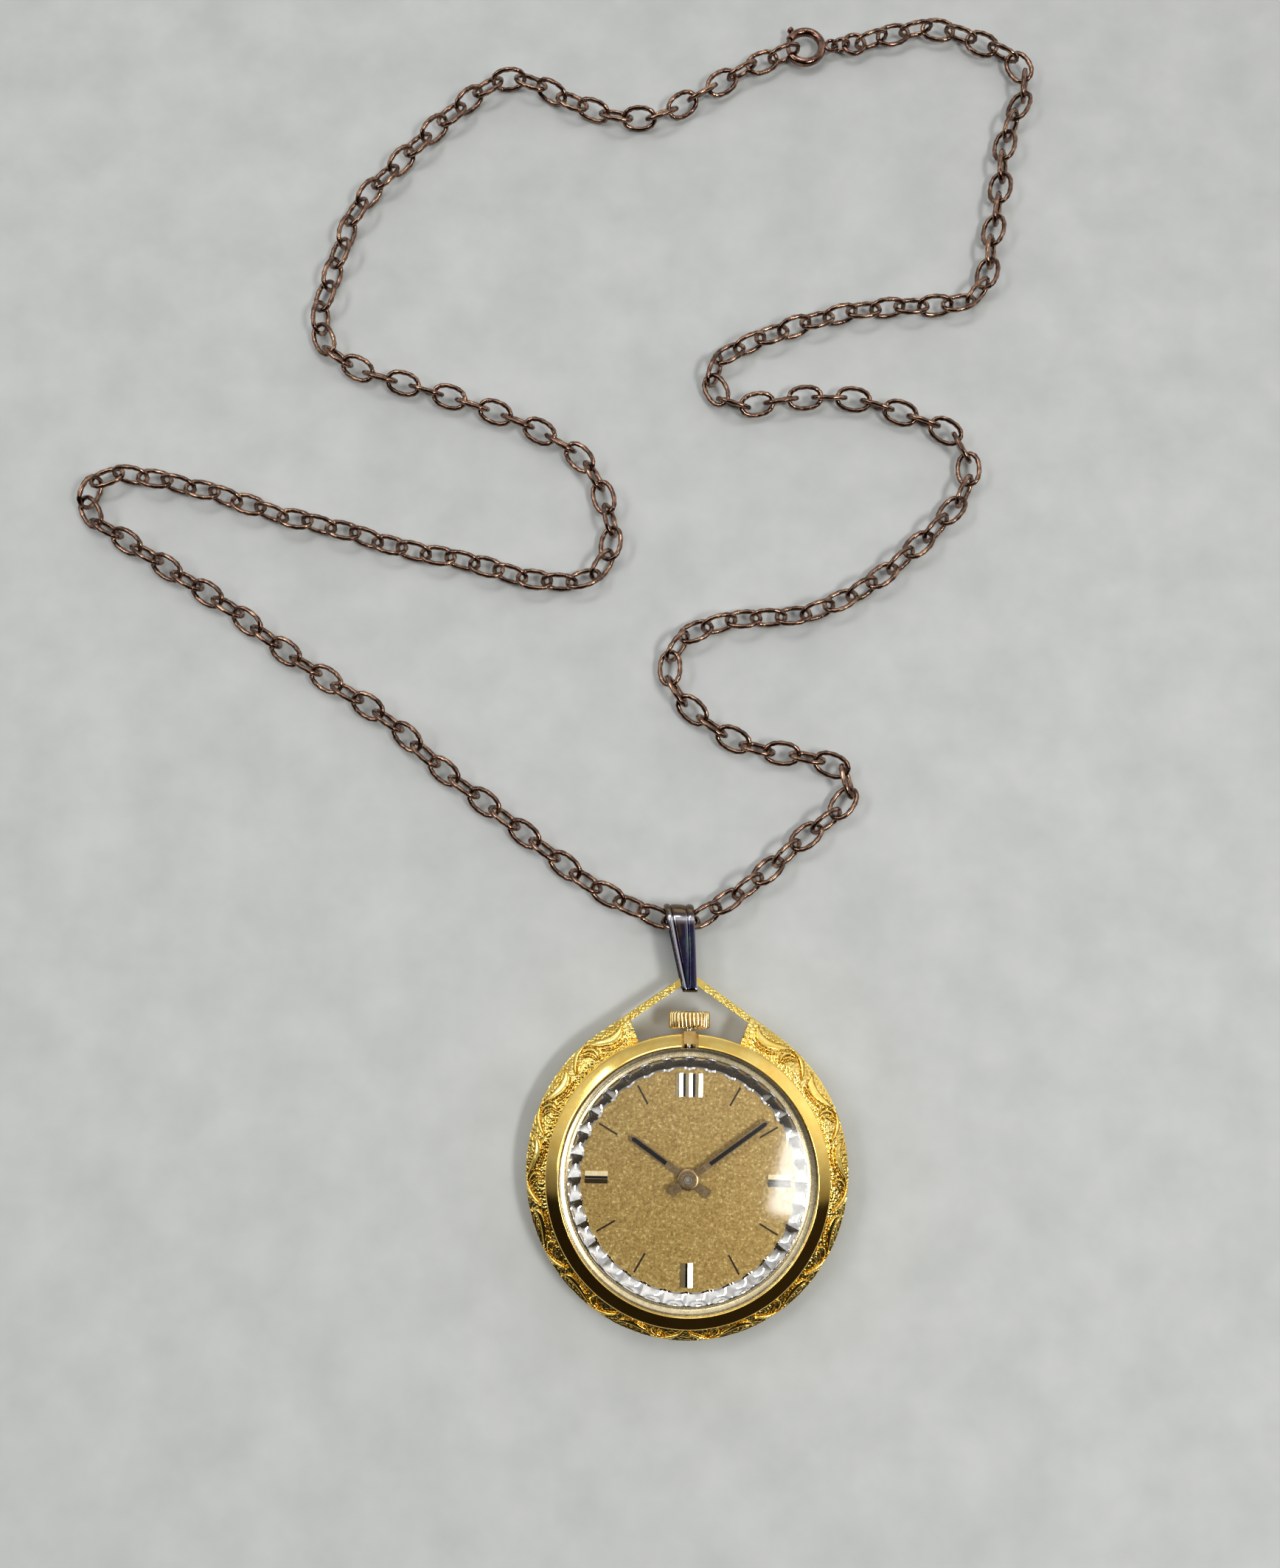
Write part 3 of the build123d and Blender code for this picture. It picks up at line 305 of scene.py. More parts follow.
CHAIN = chain_metal("chain_copper", (0.085, 0.05, 0.037), (0.2, 0.115, 0.08), (0.5, 0.32, 0.21), (0.08, 0.2))
CLASP = chain_metal("clasp_copper", (0.09, 0.05, 0.04), (0.2, 0.11, 0.08), (0.42, 0.26, 0.19), (0.08, 0.18))


# Mesh helpers
def add_mesh(name, points, faces, material, body, replaced, slot, smooth=True):
    mesh = bpy.data.meshes.new(name)
    mesh.from_pydata([Vector(point) * MM for point in points], [], faces)
    mesh.validate()
    mesh.update()
    piece = bpy.data.objects.new(name, mesh)
    scene.collection.objects.link(piece)
    mesh.materials.append(material)
    if smooth:
        mesh.shade_smooth()
    else:
        mesh.shade_flat()
    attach(piece, body)
    if replaced:
        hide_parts(*replaced)
    return piece


def mark(piece, name, values):
    """Writes one value per point, which the piece's material reads under the name."""
    piece.data.attributes.new(name, "FLOAT", "POINT").data.foreach_set("value", values)


def sharpen(piece, degrees=30):
    """Splits the shading where faces meet at more than the angle."""
    mesh = piece.data
    work = bmesh.new()
    work.from_mesh(mesh)
    for edge in work.edges:
        edge.smooth = len(edge.link_faces) == 2 and edge.calc_face_angle(0) < math.radians(degrees)
    work.to_mesh(mesh)
    work.free()


def joined(parts):
    """Parts of (points, faces) as one."""
    points, faces = [], []
    for some, more in parts:
        start = len(points)
        points.extend(some)
        faces.extend(tuple(start + index for index in face) for face in more)
    return points, faces


def grid_faces(rows, columns, closed, start=0):
    """Faces between rings of points, and from the last ring to the first where it is closed."""
    faces = []
    for row in range(rows if closed else rows - 1):
        after = (row + 1) % rows
        for column in range(columns):
            beside = (column + 1) % columns
            faces.append((
                start + row * columns + column, start + after * columns + column,
                start + after * columns + beside, start + row * columns + beside,
            ))
    return faces


def polar(radius, angle, height):
    return (radius * math.cos(angle), radius * math.sin(angle), height)


def lathe_mesh(profile, count):
    """Points and faces of a closed profile of (radius, height) turned once round."""
    angles = [2 * math.pi * index / count for index in range(count)]
    points = [polar(radius, angle, height) for angle in angles for radius, height in profile]
    return points, grid_faces(count, len(profile), True)


def lathe(name, profile, material, body, replaced, slot, count=192, degrees=30):
    points, faces = lathe_mesh(profile, count)
    sharpen(add_mesh(name, points, faces, material, body, replaced, slot), degrees)


def rounded(corners, radius, steps):
    """A closed profile whose corners are rounded."""
    out = []
    count = len(corners)
    for index in range(count):
        here = Vector(corners[index])
        before = Vector(corners[index - 1]) - here
        after = Vector(corners[(index + 1) % count]) - here
        cut = min(radius, before.length * 0.45, after.length * 0.45)
        start = here + before.normalized() * cut
        end = here + after.normalized() * cut
        for step in range(steps + 1):
            t = step / steps
            point = start.lerp(here, t).lerp(here.lerp(end, t), t)
            out.append(tuple(point))
    return out


def tube_along(path, radius, sides, closed, bumps=None):
    """Points and faces of a round bar along a path of vectors, whose radius bumps may vary."""
    count = len(path)
    tangents = []
    for index in range(count):
        before = path[index - 1] if closed or index else path[0]
        after = path[(index + 1) % count] if closed or index < count - 1 else path[-1]
        tangents.append((after - before).normalized())
    normal = tangents[0].orthogonal().normalized()
    points = []
    for index in range(count):
        normal = (normal - tangents[index] * normal.dot(tangents[index])).normalized()
        across = tangents[index].cross(normal)
        for side in range(sides):
            angle = 2 * math.pi * side / sides
            size = radius * (bumps(index / count, angle) if bumps else 1)
            points.append(path[index] + (normal * math.cos(angle) + across * math.sin(angle)) * size)
    faces = grid_faces(count, sides, closed)
    if not closed:
        faces.append(tuple(range(sides)))
        faces.append(tuple(reversed(range((count - 1) * sides, count * sides))))
    return points, faces


# Camera, floor and light
FLOOR_SIZE = 3000.0

# The studio's colours from 6 o'clock to 12 o'clock, and its power, which grows towards 3 o'clock
STUDIO_STOPS = [
    (0.0, (0.02, 0.015, 0.012)), (0.362, (0.02, 0.015, 0.012)), (0.38, (0.2, 0.19, 0.18)),
    (0.44, (0.36, 0.35, 0.34)), (0.5, (0.6, 0.59, 0.57)), (0.62, (1.05, 1.03, 1.0)), (0.78, (0.9, 0.9, 0.9)),
    (0.87, (0.52, 0.52, 0.53)), (0.91, (0.58, 0.58, 0.6)), (0.96, (1.15, 1.15, 1.15)),
]
STUDIO_POWER = 0.96
STUDIO_SLANT = 0.28


def add_camera():
    data = bpy.data.cameras.new("camera")
    data.sensor_fit = "VERTICAL"
    data.sensor_height = SENSOR
    data.lens = FOCAL_PIXELS * SENSOR / PHOTO_HEIGHT
    data.clip_start = NEAR_CLIP * MM
    camera = bpy.data.objects.new("camera", data)
    right = Vector(CAMERA_RIGHT).normalized()
    up = Vector(CAMERA_UP)
    up = (up - right * up.dot(right)).normalized()
    back = right.cross(up)
    turn = Matrix((right, up, back)).transposed().to_4x4()
    camera.matrix_world = Matrix.Translation(Vector(CAMERA_PLACE) * MM) @ turn
    scene.collection.objects.link(camera)
    scene.camera = camera


def add_floor():
    bpy.ops.mesh.primitive_plane_add(size=FLOOR_SIZE * MM)
    floor = bpy.context.object
    floor.name = "floor"
    floor.data.materials.append(floor_cloth())


def add_light(name, place, target, size, power, color):
    data = bpy.data.lights.new(name, "AREA")
    data.shape = "RECTANGLE"
    data.size, data.size_y = [side * MM for side in size]
    data.energy = power
    data.color = color
    light = bpy.data.objects.new(name, data)
    light.location = Vector(place) * MM
    light.rotation_euler = (Vector(target) - Vector(place)).to_track_quat("-Z", "Y").to_euler()
    scene.collection.objects.link(light)


def add_world():
    """A studio that is bright towards 12 o'clock and 3 o'clock, and dark where the photographer stands."""
    world = bpy.data.worlds.new("studio")
    world.use_nodes = True
    tree = world.node_tree
    background = tree.nodes["Background"]
    coordinates = tree.nodes.new("ShaderNodeTexCoord")
    split = tree.nodes.new("ShaderNodeSeparateXYZ")
    link(coordinates.outputs["Generated"], split.inputs[0])
    along = scaled_sum(tree, split.outputs["Y"], 0.5, 0.5)
    power = scaled_sum(tree, split.outputs["X"], STUDIO_SLANT, STUDIO_POWER)
    link(power, background.inputs["Strength"])
    link(ramp_of(tree, along, STUDIO_STOPS), background.inputs["Color"])
    scene.world = world


scene.view_settings.view_transform = "Standard"
add_camera()
add_floor()
add_world()
add_light("window", (190, -48, 340), (8, 0, 0), (130, 62), 0.7, (1.0, 0.99, 0.97))
add_light("strip", (-230, 90, 280), (0, 20, 0), (260, 60), 0.3, (0.97, 0.98, 1.0))
add_light("top", (-60, 300, 420), (0, 60, 0), (240, 70), 0.32, (1.0, 0.99, 0.97))


# Chain
LINK_WIRE = 0.28
LINK_PATH_LENGTH = 3.984
LINK_WIDTH = 3.1
LINK_FULLNESS = 2.25
LINK_SIDES = 10
LINK_STEPS = 44
LINK_TWISTS = 13
LINK_TWIST_DEPTH = 0.11
LINK_ROLL = 19.0
LINK_ROLL_CHANGE = 5
LINK_LIFT = 0.2
LINK_SEED = 11
LINKS_EASED = (5, 9)

# The middle of the bail's loop, where both branches start
BAIL_LOOP = Vector((-1.1, 27.9, 2.1))


def link_frames(node):
    """Each link's middle, and its directions along and across, from the chain node's own solids."""
    mesh = nodes[node].data
    places = np.empty(len(mesh.vertices) * 3)
    mesh.vertices.foreach_get("co", places)
    places = places.reshape(-1, 3) / MM
    keys, owner = np.unique(np.round(places, 4), axis=0, return_inverse=True)
    owner = owner.ravel()
    parent = list(range(len(keys)))

    def root(index):
        while parent[index] != index:
            parent[index] = parent[parent[index]]
            index = parent[index]
        return index

    for edge in mesh.edges:
        first, second = root(owner[edge.vertices[0]]), root(owner[edge.vertices[1]])
        if first != second:
            parent[first] = second
    groups = {}
    for index in range(len(keys)):
        groups.setdefault(root(index), []).append(index)
    frames = []
    for members in groups.values():
        cloud = keys[members]
        middle = cloud.mean(axis=0)
        axes = np.linalg.eigh(np.cov((cloud - middle).T))[1]
        frames.append((Vector(middle), Vector(axes[:, 2]), Vector(axes[:, 1])))
    return frames


def rolled_links(frames, is_branch):
    """The links in order from the bail, rolled so that one lies open and the next stands."""
    left = list(frames)
    order = []
    place = BAIL_LOOP
    while left:
        best = min(left, key=lambda item: (item[0] - place).length)
        left.remove(best)
        order.append(best)
        place = best[0]
    random.seed(LINK_SEED)
    links = []
    last = len(order) - 1
    for index, (middle, along, across) in enumerate(order):
        before = order[index - 1][0] if index else BAIL_LOOP
        if along.dot(middle - before) < 0:
            along = -along
        ease = min(1, index / LINKS_EASED[0], (last - index) / LINKS_EASED[1]) if is_branch else 0
        roll = ease * (LINK_ROLL + random.uniform(-LINK_ROLL_CHANGE, LINK_ROLL_CHANGE))
        turn = Matrix.Rotation(math.radians(roll), 3, along)
        links.append((middle + Vector((0, 0, LINK_LIFT * ease)), along, turn @ across))
    return links


def link_path(half_length, half_width):
    """A link's oval, longer than wide, with fuller ends than an ellipse."""
    power = 2 / LINK_FULLNESS
    path = []
    for step in range(LINK_STEPS):
        angle = 2 * math.pi * step / LINK_STEPS
        c, s = math.cos(angle), math.sin(angle)
        path.append((
            half_length * math.copysign(abs(c) ** power, c),
            half_width * math.copysign(abs(s) ** power, s),
        ))
    return path


def twist(share, angle):
    """The wire's size at a share of the way round a link, as a share of its radius."""
    return 1 + LINK_TWIST_DEPTH * math.sin(2 * math.pi * LINK_TWISTS * share + 2 * angle)


def build_links(name, node, body, slot):
    oval = link_path(LINK_PATH_LENGTH / 2, LINK_WIDTH / 2 - LINK_WIRE)
    links = []
    for middle, along, across in rolled_links(link_frames(node), node != "bail_link"):
        path = [middle + along * x + across * y for x, y in oval]
        links.append(tube_along(path, LINK_WIRE, LINK_SIDES, True, twist))
    add_mesh(name, *joined(links), CHAIN, body, (node,), slot)


build_links("links_left", "chain_left", "chain_body", "chain_copper")
build_links("links_right", "chain_right", "chain_body", "chain_copper")
build_links("link_in_bail", "bail_link", "chain_body", "chain_copper")


# Clasp, close to the part's own sizes
CLASP_PLACE = Vector((13.27, 141.26, 1.27))
CLASP_RADIUS = 2.2
CLASP_TUBE = 0.52
CLASP_OPENING = (152, 212)
END_ANGLE = 5.0
SLIDER_WIRE = 0.3
SLIDER_ARC = (96, 218)
KNOB_ANGLE = 128
KNOB_RADIUS = 0.42
KNOB_LENGTH = 0.55
KNOB_GAP = 0.05
KNOB_PROFILE = [0.55, 0.85, 0.98, 1.0, 0.97, 0.98, 1.0, 0.9, 0.6]
KNOB_STEM_RADIUS = 0.18
KNOB_STEM_REACH = 0.2

# The rings at the clasp's end: the distance from its middle, the radius and the wire's radius
EYE = (3.44, 0.72, 0.22)
CONNECTOR = (4.64, 1.0, 0.25)
JUMP_RING = (6.41, 1.35, 0.28)
RIGHT = Vector((1, 0, 0))
UP = Vector((0, 1, 0))
OUT_OF_DIAL = Vector((0, 0, 1))


def heading(degrees):
    angle = math.radians(degrees)
    return Vector((math.cos(angle), math.sin(angle), 0))


def ring_part(middle, radius, wire, steps, sides, first=0, last=360, right=RIGHT, up=UP):
    """A round bar bent from the first to the last angle about the middle, or all the way round."""
    closed = last - first >= 360
    path = []
    for step in range(steps if closed else steps + 1):
        angle = math.radians(first + (last - first) * step / steps)
        path.append(middle + right * (radius * math.cos(angle)) + up * (radius * math.sin(angle)))
    return tube_along(path, wire, sides, closed)


def end_ring(ring, steps, sides, right=RIGHT, up=UP):
    distance, radius, wire = ring
    place = CLASP_PLACE + heading(END_ANGLE) * distance
    return ring_part(place, radius, wire, steps, sides, right=right, up=up)


def knob_size(share, angle):
    return KNOB_PROFILE[round(share * len(KNOB_PROFILE))]


def build_slider():
    wire = ring_part(CLASP_PLACE, CLASP_RADIUS, SLIDER_WIRE, 40, 14, *SLIDER_ARC)
    outward = heading(KNOB_ANGLE)
    root = CLASP_PLACE + outward * CLASP_RADIUS
    stem = tube_along([root, root + outward * (CLASP_TUBE + KNOB_STEM_REACH)], KNOB_STEM_RADIUS, 12, False)
    last = len(KNOB_PROFILE) - 1
    knob_path = [
        root + outward * (CLASP_TUBE + KNOB_GAP + KNOB_LENGTH * step / last) for step in range(last + 1)
    ]
    knob = tube_along(knob_path, KNOB_RADIUS, 16, False, knob_size)
    slider = joined([wire, stem, knob])
    sharpen(add_mesh("spring_slider", *slider, CLASP, "slider_body", ("clasp_slider",), "clasp_copper"), 50)


def build_clasp():
    """The spring ring with its eye and slider, and the two rings that join it to the chain."""
    open_from, open_to = CLASP_OPENING
    ring = ring_part(CLASP_PLACE, CLASP_RADIUS, CLASP_TUBE, 96, 20, open_to, open_from + 360)
    ring_and_eye = joined([ring, end_ring(EYE, 40, 12)])
    sharpen(add_mesh("spring_ring", *ring_and_eye, CLASP, "chain_body", ("clasp_ring",), "clasp_copper"))
    build_slider()
    connector = end_ring(CONNECTOR, 48, 14, heading(END_ANGLE), OUT_OF_DIAL)
    add_mesh("clasp_link", *connector, CLASP, "chain_body", ("clasp_connector",), "clasp_copper")
    jump = end_ring(JUMP_RING, 56, 14)
    add_mesh("end_ring", *jump, CLASP, "chain_body", ("jump_ring",), "clasp_copper")


build_clasp()


# Bail, close to the part's own sizes
BAIL_BOTTOM = 20.0
BAIL_TOP = 29.98
BAIL_FRONT = 4.25
BAIL_BACK = 1.15
BAIL_WALL = 0.35
BAIL_NARROW = 1.65
BAIL_BROAD = 3.45
BAIL_LEAN = 1.4
BAIL_LOOP_RADIUS = 2.1
BAIL_FOLD = 0.45

# The strap across its width: the share of the width, the height and how strongly a painted highlight lightens
# it
BAIL_RIDGES = [
    (0, -0.22, 0), (0.03, -0.1, 0), (0.08, -0.02, 0.1), (0.15, 0, 0.85), (0.2, -0.03, 0.25), (0.235, -0.1, 0),
    (0.25, -0.2, 0), (0.265, -0.13, 0), (0.3, -0.06, 0), (0.4, -0.03, 0), (0.5, -0.04, 0), (0.6, -0.06, 0),
    (0.7, -0.11, 0.1), (0.735, -0.16, 0.8), (0.75, -0.2, 0), (0.765, -0.1, 0), (0.8, -0.03, 0), (0.85, 0, 0),
    (0.92, -0.02, 0), (0.97, -0.1, 0.1), (1, -0.22, 0.7),
]
INSIDE_SHARES = (1, 0.75, 0.5, 0.25, 0)
CREASE_SHARES = [0, 0.25, 0.75, 1]
RIDGES_START = 1.1
# A painted highlight band across the loop's foot: its place along Y, its width, its brightness and the height
# above which it is painted
PAINTED_BAND_PLACE = 28.2
PAINTED_BAND_WIDTH = 0.28
PAINTED_BAND_BRIGHTNESS = 0.7
PAINTED_BAND_LOWEST = 3
BROWN_ABOVE = 28.5
BROWN_ABOVE_FADE = 0.5
BROWN_BELOW = 20.3
BROWN_BELOW_FADE = 0.2


def bail_share(y):
    return (y - BAIL_BOTTOM) / (BAIL_TOP - BAIL_BOTTOM)


def bail_width(y):
    """The bail's left and right sides at a place along Y."""
    along = bail_share(y)
    width = BAIL_NARROW + (BAIL_BROAD - BAIL_NARROW) * along
    return -BAIL_LEAN * along - width / 2, -BAIL_LEAN * along + width / 2


def arc_points(middle, size, first, last, count):
    """Points on an arc, both its ends included."""
    points = []
    for step in range(count + 1):
        angle = math.radians(first + (last - first) * step / count)
        points.append((middle[0] + size * math.cos(angle), middle[1] + size * math.sin(angle)))
    return points


def points_between(start, end, count):
    """Points on a line, both its ends left out."""
    points = []
    for step in range(1, count):
        t = step / count
        points.append((start[0] + (end[0] - start[0]) * t, start[1] + (end[1] - start[1]) * t))
    return points


def bail_section(inset):
    """The bail's outline from its side, as (Y, Z) points round the loop, down the back and up the front."""
    loop_y, loop_z = BAIL_TOP - BAIL_LOOP_RADIUS, BAIL_FRONT - BAIL_LOOP_RADIUS
    fold_y = BAIL_BOTTOM + BAIL_FOLD
    size = BAIL_LOOP_RADIUS - inset
    fold_size = BAIL_FOLD - inset
    back = points_between((loop_y, loop_z - BAIL_LOOP_RADIUS + inset), (fold_y, BAIL_BACK + inset), 10)
    front = points_between((fold_y, BAIL_FRONT - inset), (loop_y, BAIL_FRONT - inset), 20)
    low_fold = arc_points((fold_y, BAIL_BACK + BAIL_FOLD), fold_size, 270, 180, 6)
    high_fold = arc_points((fold_y, BAIL_FRONT - BAIL_FOLD), fold_size, 180, 90, 6)
    return arc_points((loop_y, loop_z), size, 90, -90, 28) + back + low_fold + high_fold + front


def bail_marks(place):
    """How bright the painted highlight band across the loop's foot is at a place, and how brown the strap is.
    """
    band = 0
    if place.z > PAINTED_BAND_LOWEST:
        band = PAINTED_BAND_BRIGHTNESS * math.exp(-((place.y - PAINTED_BAND_PLACE) / PAINTED_BAND_WIDTH) ** 2)
    above = (place.y - BROWN_ABOVE) / BROWN_ABOVE_FADE
    below = (BROWN_BELOW - place.y) / BROWN_BELOW_FADE
    return band, min(1, max(0, above, below))


def build_bail():
    """A folded strap with two raised side ridges, whose creases meet towards the narrow end."""
    outer = bail_section(0)
    inner = bail_section(BAIL_WALL)
    inside = len(INSIDE_SHARES)
    columns = len(BAIL_RIDGES) + inside
    points, painted_highlight, ends = [], [], []
    for outer_place, inner_place in zip(outer, inner):
        out = Vector((0, *outer_place))
        inn = Vector((0, *inner_place))
        inward = (inn - out).normalized()
        low = 1 - bail_share(out.y)
        creases = [0, 0.22 + 0.14 * low ** 3, 0.74 - 0.3 * low ** 2.5, 1]
        raised = min(1, (out.y - BAIL_BOTTOM) / RIDGES_START)
        left, right = bail_width(out.y)
        for share, height, bright in BAIL_RIDGES:
            at = float(np.interp(share, CREASE_SHARES, creases))
            points.append(Vector((left + (right - left) * at, out.y, out.z)) - inward * height * raised)
        left, right = bail_width(inn.y)
        for share in INSIDE_SHARES:
            points.append(Vector((left + (right - left) * share, inn.y, inn.z)))
        # Painted highlight from the ridge lines and the band across the loop's foot, left off where the strap
        # is brown
        band, brown = bail_marks(out)
        painted_highlight.extend([max(bright, band) * (1 - brown) for share, height, bright in BAIL_RIDGES])
        painted_highlight.extend([0.0] * inside)
        ends.extend([brown] * columns)
    faces = grid_faces(len(outer), columns, True)
    piece = add_mesh("bail_strap", points, faces, BAIL, "bail_body", ("bail",), "bail_gunmetal")
    mark(piece, "painted_highlight", painted_highlight)
    mark(piece, "ends", ends)
    sharpen(piece, 40)


build_bail()


# Bezel, rings and glass
BEZEL_STEPS = 240
BEZEL_ROUNDING = 0.2
GLASS_EDGE = 6.2
GLASS_CREST = 8.0
GLASS_HOLLOW_EDGE = 5.75
GLASS_HOLLOW_CREST = 7.1
GLASS_CHAMFER = 0.04
GLASS_STEPS = 160
NEAR_AXIS = 0.001
REFLECTOR_FACETS = 32
FACET_STEPS = 12
SHARP_COLUMNS = (0, 1, 2, 6, 7, 8)


def build_bezel():
    """A polished ring, open at 12 with straight walls."""
    corners = [
        (BEZEL_BORE, CASE_TOP), (BEZEL_RADIUS, CASE_TOP), (BEZEL_RADIUS, BEZEL_TOP - 0.66),
        (BEZEL_RADIUS - 0.6, BEZEL_TOP - 0.35), (BEZEL_BORE + 0.22, BEZEL_TOP - 0.04),
        (BEZEL_BORE + 0.08, BEZEL_TOP), (BEZEL_BORE, BEZEL_TOP - 0.06),
    ]
    profile = rounded(corners, BEZEL_ROUNDING, 5)
    points = []
    for index in range(BEZEL_STEPS + 1):
        share = index / BEZEL_STEPS
        for radius, height in profile:
            gap = math.asin(BEZEL_SLOT / 2 / radius)
            angle = math.pi / 2 + gap + (2 * math.pi - 2 * gap) * share
            points.append(polar(radius, angle, height))
    columns = len(profile)
    faces = grid_faces(BEZEL_STEPS + 1, columns, False)
    faces.append(tuple(range(columns)))
    faces.append(tuple(reversed(range(BEZEL_STEPS * columns, (BEZEL_STEPS + 1) * columns))))
    sharpen(add_mesh("bezel_polished", points, faces, GOLD, "watch", ("bezel",), "bezel_gold"), 35)


def dome(radius, edge, crest):
    """A dome's (radius, height) points from its crest out to its edge."""
    steps = 24
    rise = crest - edge
    curve = (radius ** 2 + rise ** 2) / (2 * rise)
    top = math.asin(radius / curve)
    return [
        (curve * math.sin(top * step / steps), crest - curve + curve * math.cos(top * step / steps))
        for step in range(steps + 1)
    ]


def build_crystal():
    outer = dome(GLASS_RADIUS, GLASS_EDGE, GLASS_CREST)
    inner = dome(GLASS_BORE, GLASS_HOLLOW_EDGE, GLASS_HOLLOW_CREST)
    crests = [(NEAR_AXIS, GLASS_HOLLOW_CREST), (NEAR_AXIS, GLASS_CREST)]
    foot = [
        (GLASS_RADIUS, GLASS_FOOT + GLASS_CHAMFER), (GLASS_RADIUS - GLASS_CHAMFER, GLASS_FOOT),
        (GLASS_BORE, GLASS_FOOT),
    ]
    profile = list(reversed(inner[1:])) + crests + outer[1:] + foot
    lathe("crystal_dome", profile, CLEAR, "watch", ("crystal",), "crystal", GLASS_STEPS, 40)


def build_rim():
    """The stepped ring between the glass and the dial."""
    profile = [
        (GLASS_BORE, DIAL_BOTTOM), (GLASS_RADIUS, DIAL_BOTTOM), (GLASS_RADIUS, GLASS_FOOT),
        (13.84, GLASS_FOOT), (13.44, 5.12), (13.41, 5.02), (13.34, 5.02), (13.31, 5.12), (GLASS_BORE, 5.02),
    ]
    lathe("rim_steps", profile, RIM_GOLD, "watch", ("rim_ring",), "case_gold")


def facet_section(share):
    """The reflector's section at a share of the way over one facet, from its foot at the dial outwards."""
    scoop = 1 - (2 * share - 1) ** 2
    tab = max(0.0, 1 - (min(share, 1 - share) / 0.2) ** 2)
    inner = 11.5 + 0.26 * scoop
    return [
        (inner, DIAL_TOP), (inner + 0.03, 5.04 + 0.34 * tab), (inner + 0.3 - 0.12 * scoop, 5.05 + 0.14 * tab),
        (12.1 + 0.1 * scoop, 5.34 - 0.26 * scoop), (12.45 + 0.05 * scoop, 5.54 - 0.38 * scoop),
        (12.75, 5.66 - 0.3 * scoop), (12.92, 5.7 - 0.08 * scoop), (13.0, 5.66), (13.0, DIAL_TOP),
    ]


def build_reflector():
    """A chrome ring cut by scoops, with a second row of small cuts along the dial."""
    rows = REFLECTOR_FACETS * FACET_STEPS
    columns = len(facet_section(0))
    points = []
    for row in range(rows):
        for radius, height in facet_section(row % FACET_STEPS / FACET_STEPS):
            points.append(polar(radius, 2 * math.pi * row / rows, height))
    faces = grid_faces(rows, columns, True)
    piece = add_mesh(
        "reflector_cut", points, faces, CHROME, "watch", ("reflector_ring",), "reflector_chrome"
    )
    for edge in piece.data.edges:
        first, second = (divmod(index, columns) for index in edge.vertices)
        on_ridge = first[0] == second[0] and first[0] % FACET_STEPS == 0
        on_step = first[1] == second[1] and first[1] in SHARP_COLUMNS
        edge.use_edge_sharp = on_ridge or on_step


build_bezel()
build_crystal()
build_rim()
build_reflector()


# Dial, printed lines, markers and hands
LINE_HOURS = (1, 2, 4, 5, 7, 8, 10, 11)
LINE_WIDTH = 0.2
LINE_ENDS = (9.0, 11.3)
LINE_HEIGHTS = (DIAL_TOP - 0.01, DIAL_TOP + 0.012)
MARKER_ENDS = (8.7, 11.2)
MARKER_HEIGHT = 0.25
MARKER_SLOPE = 0.1
MARKER_WIDTH = 1.3
MARKER_STRIP = 0.28
TWELVE_WIDTH = 0.8
TWELVE_SHIFT = 1.07
TWELVE_STRIP = 0.27
TWELVE_STRIP_SHIFT = 0.53
INLAY_ENDS = (8.72, 11.18)
HAND_THICKNESS = 0.15
HAND_BEVEL = 0.03
HAND_LIFT = 0.01
HUB_RADIUS = 1.1
HUB_STEPS = 64
BLADE_START = 1.0
TAIL_HALVES = (0.36, 0.575, 0.3)
TAIL_TIP = 0.06
INLAY_START = 2.9
INLAY_HALF_SHARE = 0.31
HOUR_ANGLE = 304.5
MINUTE_ANGLE = 54.0


def clock_place(x, y, degrees):
    """A place turned clockwise about the dial's middle."""
    angle = -math.radians(degrees)
    return x * math.cos(angle) - y * math.sin(angle), x * math.sin(angle) + y * math.cos(angle)


def bar_of(section, ends, degrees, shift):
    """Points and faces of a closed (x, z) section drawn along Y, then turned clockwise."""
    count = len(section)
    points = [(*clock_place(x + shift, y, degrees), z) for y in ends for x, z in section]
    faces = [(side, side + 1, count + side + 1, count + side) for side in range(count - 1)]
    faces.append((count - 1, 0, count, 2 * count - 1))
    faces.append(tuple(reversed(range(count))))
    faces.append(tuple(range(count, 2 * count)))
    return points, faces


def strip_of(width, ends, low, high, degrees, shift):
    """A bar with a rectangular section."""
    left, right = -width / 2, width / 2
    return bar_of([(left, low), (left, high), (right, high), (right, low)], ends, degrees, shift)


def build_dial():
    profile = [
        (DIAL_HOLE, DIAL_BOTTOM), (DIAL_RADIUS, DIAL_BOTTOM), (DIAL_RADIUS, DIAL_TOP), (11.7, DIAL_TOP),
        (8.0, DIAL_TOP), (4.0, DIAL_TOP), (DIAL_HOLE + 0.05, DIAL_TOP), (DIAL_HOLE, DIAL_TOP - 0.04),
    ]
    lathe("dial_face", profile, DIAL, "watch", ("dial",), "dial_gold", 160)
    lines = joined([strip_of(LINE_WIDTH, LINE_ENDS, *LINE_HEIGHTS, hour * 30, 0) for hour in LINE_HOURS])
    add_mesh("hour_lines", *lines, PRINT, "watch", (), "dial_gold", smooth=False)


def roof_bar(width, degrees, shift, split):
    """A bar with two slopes that fall from a sunk middle strip, whose half width is the split."""
    high = DIAL_TOP + MARKER_HEIGHT
    side = high - MARKER_SLOPE
    strip = high - MARKER_SLOPE / 2
    half = width / 2
    section = [
        (-half, DIAL_TOP), (-half, side), (-split, high), (-split, strip),
        (split, strip), (split, high), (half, side), (half, DIAL_TOP),
    ]
    return bar_of(section, MARKER_ENDS, degrees, shift)


